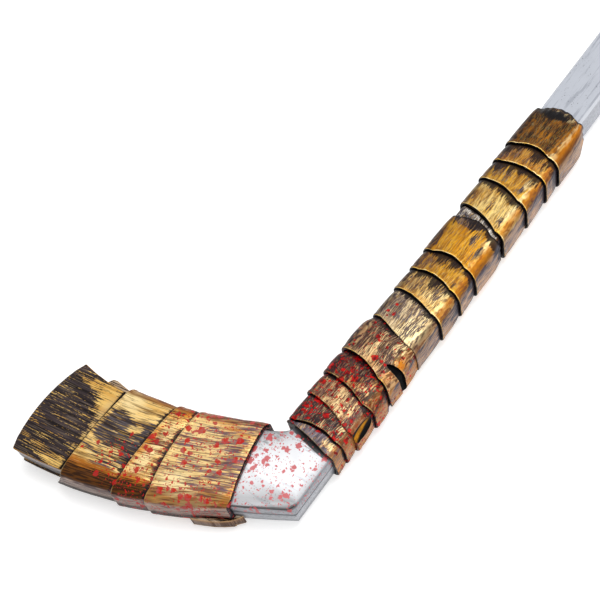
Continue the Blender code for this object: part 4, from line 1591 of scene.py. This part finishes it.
class BladeStraps(Assembly):
    """The three turns along the blade, each lip over the one nearer the toe."""

    def __init__(self) -> None:
        """Lists the turns from the toe in."""
        common = StrapFinish(
            0.0, cover=0.6, strokes=(2.4, 0.9), smear=2.2, gap=0.8, line=0.4, line_strength=0.25, ridge=0.95,
            ridge_colour=paint(188, 110, 20), ridge_dark=paint(30, 14, 8), brown=paint(78, 44, 20), near=0.85,
            near_range=(0.02, 0.4), near_shade_colour=paint(120, 66, 24), sparkle=0.5, left=0.0, shine=0.0, rim=0.2,
            far=paint(176, 150, 138), far_dark=paint(104, 82, 80), far_high=0.0, far_low=1.0, low_range=(10.0, 5.5),
            band=0.95, band_width=0.15, red=paint(204, 22, 16), red_dark=paint(166, 50, 46), base=paint(44, 32, 30),
            amber=paint(224, 170, 84), yellow=paint(252, 212, 134))
        gold_one = replace(
            common, seed=13.0, cover=0.5, grey=paint(104, 96, 100),
            patches=((3.3, 119.4, 11, 17, 0.9), (-11.0, 120.8, 6, 12, -0.5), (-22.0, 117.2, 9, 16, -0.7),
                     (-40.0, 124.0, 6, 12, 0.3), (-46.0, 108.0, 9, 12, -0.7), (-14.2, 102.0, 12, 4, -0.4),
                     (-26.0, 103.0, 10, 5, -0.4), (10.8, 102.1, 6, 8, 0.4)),
            creams=((1.3, 124.0, 8, 10, 0.8),),
            glows=((-49.0, 116.0, 6, 18, 0.9), (12.0, 108.0, 4, 12, 0.6)),
            sprays=((-34.0, 106.0, 17, 15, 0.5),),
            blots=((-30.3, 123.5, 1.1), (-30.8, 112.6, 1.3), (-28.3, 106.2, 1.4), (-25.1, 108.0, 1.0),
                   (-45.8, 111.4, 1.9), (-15.2, 109.0, 1.2), (-37.9, 129.9, 0.9), (-33.4, 99.5, 1.5)))
        gold_two = replace(
            common, seed=14.0, cover=0.66, spatter=0.62, base=paint(84, 40, 28), grey=paint(124, 76, 66),
            amber=paint(224, 156, 62), near_shade_colour=paint(110, 54, 28),
            patches=((11.8, 90.6, 8, 8, 0.3), (-26.2, 91.3, 12, 4, 0.2), (-16.1, 81.8, 14, 3, -0.4),
                     (-28.0, 80.5, 8, 3, -0.4)),
            creams=((-26.2, 91.3, 12, 5, 0.8), (-8.3, 90.1, 13, 5, 0.8)),
            glows=((-42.0, 90.0, 12, 8, 1.0), (-14.0, 96.0, 14, 3, 0.7), (16.0, 88.0, 6, 7, 0.7)),
            blots=((-7.9, 95.9, 1.2), (-17.0, 95.6, 1.4), (-4.4, 91.2, 1.3), (-11.1, 92.3, 1.7), (-35.5, 86.0, 1.6),
                   (-37.6, 94.9, 1.0), (-31.4, 91.0, 1.9)))
        gold_three = replace(
            common, seed=15.0, cover=0.62, smear=0.5, gap=0.35, spatter=0.42, red=paint(200, 34, 24),
            red_dark=paint(188, 84, 80), near_shade_colour=paint(96, 38, 30), near_range=(0.0, 0.3),
            base=paint(104, 76, 76), grey=paint(150, 122, 128), amber=paint(230, 182, 118), band=0.45,
            band_width=0.06, ridge=0.35,
            sprays=((6.0, 62.0, 16, 26, 0.3), (-27.0, 56.0, 7, 26, 0.3)),
            patches=((17.8, 75.9, 6, 8, 0.3), (18.4, 62.9, 4, 10, 0.3), (-13.1, 33.5, 13, 3.5, 0.6),
                     (14.0, 42.0, 12, 2.6, 0.4), (11.9, 62.0, 3.5, 16, -0.25), (2.9, 44.0, 8, 9, -0.25),
                     (-27.0, 58.0, 5.0, 26, 0.6), (-8.2, 60.0, 4.5, 14, -0.2)),
            creams=((-23.3, 66.4, 9, 12, 0.6), (-28.0, 54.0, 7, 24, 1.0), (0.0, 62.0, 24, 24, 0.4)),
            glows=((-34.0, 50.0, 3, 20, 0.6), (-16.0, 34.0, 14, 3, 0.6), (20.0, 62.0, 4, 20, 0.6)),
            blots=((8.5, 73.3, 2.4), (5.6, 76.9, 1.3), (15.0, 81.8, 1.1), (-1.3, 76.3, 1.6), (10.8, 56.7, 2.2),
                   (15.3, 49.4, 2.2), (29.0, 50.9, 1.7), (-29.1, 63.6, 1.3), (-30.1, 66.8, 1.1), (-29.3, 57.5, 1.6),
                   (-30.4, 51.7, 1.7), (-22.0, 38.3, 1.0)))
        first = Turn("blade_strap_1", Edge(-131.4, -132.8, -132.0, back=Edge(-133.4, -136.6, -140.0)),
                     (5.4, 4.8, 3.8, 3.8), (3.2, 4.2, 2.4, 2.4), Profile.TAPERED, gold_one, lap_below=21.0)
        second = Turn("blade_strap_2", Edge(-97.8, -98.8, -97.2), (5.0, 6.2, 4.0, 4.0), (3.4, 4.4, 2.6, 2.6),
                      Profile.TAPERED, gold_two)
        third = Turn("blade_strap_3", Edge(-83.6, -82.4, -76.6), (5.2, 6.2, 4.4, 4.4), (2.6, 2.4, 2.4, 2.4),
                     Profile.OPEN_ENDED, gold_three, end=Edge(-43.2, -38.6, -31.6), lap_above=0.0)
        first.end, second.end = second.lip, third.lip
        first.below, second.below, third.below = (0.9, 0.9, 0.0, 0.0), first.tuck, second.tuck
        self.pieces = [first, second, third]
        for turn in self.pieces:
            turn.on_blade = True


class HardParts(Assembly):
    """The bare stick: shaft, butt plug, tenon, blade halves and toe plates, and the loose strap ends."""

    def __init__(self) -> None:
        """Lists the parts with their finishes."""
        # The heel's front face takes near-white greys: a painted reflection of the overhead lamp on the silver paint,
        # which is mid grey on the bare shaft.
        heel = SilverFinish(
            run=(0.0022, 0.02, 0.0022), light=paint(246, 247, 250), shade=paint(224, 226, 231), cover=0.95,
            spatter=0.36, side=paint(136, 138, 146), side_light=paint(174, 176, 183), edge=paint(132, 134, 140),
            line_end=4.0, line_start=29.0, toe_start=108.0, toe=paint(146, 128, 124),
            shadows=((37.3, 16.0, 1.9, 22.0, 2.6, -11),),
            sprays=((10.0, 36.0, 14, 7, 0.4), (26.0, 33.0, 11, 9, 0.35)),
            smudges=((36.0, 14.0, 3.5, 16, 0.5), (30.0, 36.0, 9, 6, 0.5), (22.0, 40.0, 5, 4, 0.4)),
            blots=((20.5, 34.6, 1.2), (26.4, 27.3, 1.2), (31.8, 20.7, 1.1), (37.1, 28.9, 1.4), (13.9, 31.7, 1.7),
                   (13.5, 28.6, 1.0), (7.4, 34.7, 1.5), (0.1, 29.5, 1.3), (3.6, 24.8, 1.1), (2.2, 16.5, 1.2),
                   (2.2, 10.3, 1.2), (7.5, 8.4, 0.7), (4.0, 6.1, 0.6), (-13.3, 31.3, 1.0), (-10.7, 32.5, 0.7),
                   (15.2, 23.7, 0.8), (15.0, 18.1, 0.8), (20.5, 27.0, 0.9), (24.7, 5.9, 0.6), (26.5, 3.0, 0.6),
                   (11.0, 8.5, 0.7), (13.8, 5.8, 0.6), (-10.9, 18.6, 1.0), (-12.8, 21.3, 0.7)))
        plate = PlateFinish(
            seed=30.0, cover=-0.12, amber=paint(222, 168, 82), yellow=paint(250, 206, 120),
            patches=((-0.2, 145.9, 6, 17, 0.6), (-2.5, 158.9, 3, 11, 0.6), (-15.2, 155.4, 2.4, 14, 0.5),
                     (-18.6, 167.5, 3, 7, 0.4), (-18.2, 135.0, 18, 6, 0.7), (-30.0, 158.0, 24, 17, -0.5),
                     (-0.6, 171.0, 5, 7, -0.4), (-53.0, 142.0, 6.0, 16, 0.7), (-51.0, 164.0, 4.0, 12, 0.5),
                     (-5.0, 140.0, 13, 10, 0.8), (-38.0, 137.0, 12, 4, 0.3), (-26.0, 178.5, 32, 1.6, 0.6)),
            creams=((-18.2, 136.1, 20, 5, 0.25),),
            shadows=((-26.0, 133.6, 60, 2.4, 1.6),))
        loose = PlateFinish(
            cover=0.7, amber=paint(176, 140, 104), yellow=paint(222, 206, 180), seed=34.0, edge=paint(200, 158, 112),
            side=paint(104, 76, 60), side_light=paint(164, 130, 104), side_depth=(-3.5, 4.0))
        back = replace(
            heel, light=paint(190, 192, 198), shade=paint(140, 144, 152), side=paint(158, 160, 167),
            side_light=paint(188, 190, 196), line_end=-NOWHERE, line_start=NOWHERE, spatter=0.0,
            toe=paint(50, 36, 32), shadows=(), blots=(), sprays=(), smudges=())
        plastic = PlainFinish(paint(38, 38, 40), paint(56, 56, 58), (0.002,) * 3)
        wood = PlainFinish(paint(190, 160, 118), paint(150, 118, 78), (0.03, 0.002, 0.002))
        self.pieces = [Moulding(*row) for row in (
            ("shaft", "bare_shaft", SilverFinish(), "silver_paint"),
            ("blade_front_half", "heel_front", heel, "silver_paint"),
            ("blade_back_half", "heel_back", back, "silver_paint"),
            ("toe_front_plate", "toe_plate_front", plate, "gold_strap"),
            ("toe_back_plate", "toe_plate_back", replace(plate, seed=31.0, edge=paint(58, 40, 32)), "gold_strap"),
            ("toe_strap_tab", "toe_tab", loose, "dark_strap"),
            ("blade_strap_tail", "strap_tail", replace(loose, seed=35.0), "dark_strap"),
            ("butt_plug", "butt_cap", plastic, "butt_plastic"),
            ("tenon", "joint_bar", wood, "tenon_core"),
        )]


@dataclass
class Studio:
    """The white table, the soft lamps and the camera."""

    camera_place: Triple = (-119.52968, -236.70793, 575.62154)
    camera_turn: Heights = (0.8405795, 0.2990084, -0.0423560, -0.4496955)
    lens: float = 66.0
    aim: Triple = (90.0, 60.0, 10.0)
    lamp_size: float = 0.9
    table: float = 6.0
    table_gap: float = 0.0002
    table_colour: Colour = (0.82, 0.82, 0.82)

    def build(self, origin: Vector) -> None:
        """Sets the stage up.

        Args:
            origin: Where the drawing frame's origin is.
        """
        self.add_camera(origin)
        self.add_table()
        self.add_lamps(origin)
        self.add_sky()
        bpy.context.scene.view_settings.view_transform = "Standard"

    @staticmethod
    def set_down(name: str, data: bpy.types.ID, place: Vector, turn: Quaternion) -> bpy.types.Object:
        """Adds a camera or a lamp to the scene.

        Args:
            name: The new object's name.
            data: Its camera or light.
            place: Where it stands, in metres.
            turn: How it is turned.

        Returns:
            The new object.
        """
        made = bpy.data.objects.new(name, data)
        made.matrix_world = Matrix.Translation(place) @ turn.to_matrix().to_4x4()
        bpy.context.scene.collection.objects.link(made)
        return made

    def add_camera(self, origin: Vector) -> None:
        """Adds the camera.

        Args:
            origin: Where the drawing frame's origin is.
        """
        data = bpy.data.cameras.new("camera")
        data.lens = self.lens
        data.sensor_width = 36.0
        data.clip_end = 20.0
        place = origin + Vector(self.camera_place) * MM
        bpy.context.scene.camera = self.set_down("camera", data, place, Quaternion(self.camera_turn))

    def add_table(self) -> None:
        """Adds the white table top that the stick lies on."""
        bpy.ops.object.select_all(action="DESELECT")
        bpy.ops.mesh.primitive_plane_add(size=self.table, location=(0.0, 0.0, -self.table_gap))
        made = bpy.context.object
        made.name = "table"
        bpy.ops.object.transform_apply(location=True)
        finish = bpy.data.materials.new("white_table")
        finish.use_nodes = True
        wires = Wires(finish.node_tree)
        wires.feed_all(wires.tree.nodes["Principled BSDF"], {
            "Base Color": self.table_colour, "Roughness": 0.9, "Specular IOR Level": 0.1,
            "Emission Color": WHITE, "Emission Strength": wires.seen_directly() * 0.55,
        })
        made.data.materials.append(finish)

    def add_lamps(self, origin: Vector) -> None:
        """Adds a broad soft lamp overhead and a weaker one from the low side.

        Args:
            origin: Where the drawing frame's origin is.
        """
        target = origin + Vector(self.aim) * MM
        rows = (
            ("overhead", Vector((0.25, -0.1, 0.95)), 1.5, 14.0),
            ("low_side", Vector((0.1, -0.9, 0.42)), 1.8, 8.0),
        )
        for name, way, away, power in rows:
            data = bpy.data.lights.new(name, "AREA")
            data.energy = power
            data.shape = "RECTANGLE"
            data.size = data.size_y = self.lamp_size
            self.set_down(name, data, target + way.normalized() * away, way.to_track_quat("Z", "Y"))

    @staticmethod
    def add_sky() -> None:
        """Adds an even white world that the camera and the gloss see as white."""
        world = bpy.data.worlds.new("white_room")
        bpy.context.scene.world = world
        world.use_nodes = True
        wires = Wires(world.node_tree)
        wires.feed_all(wires.tree.nodes["Background"], {
            "Color": WHITE, "Strength": wires.seen_directly() * 0.65 + 0.35,
        })


def main() -> None:
    """Builds the hockey stick's pieces in order and logs each one's face count, then builds the studio."""
    logging.basicConfig(level=logging.INFO, format="%(name)s: %(message)s")
    origin = Bare().origin()
    effects = Effects()
    for assembly in (HardParts(), BladeStraps(), ShaftStraps()):
        for made in assembly.build(origin, effects):
            LOG.info("%s: %s faces", made.name, len(made.data.polygons))
    Studio().build(origin)


if __name__ == "__main__":
    main()
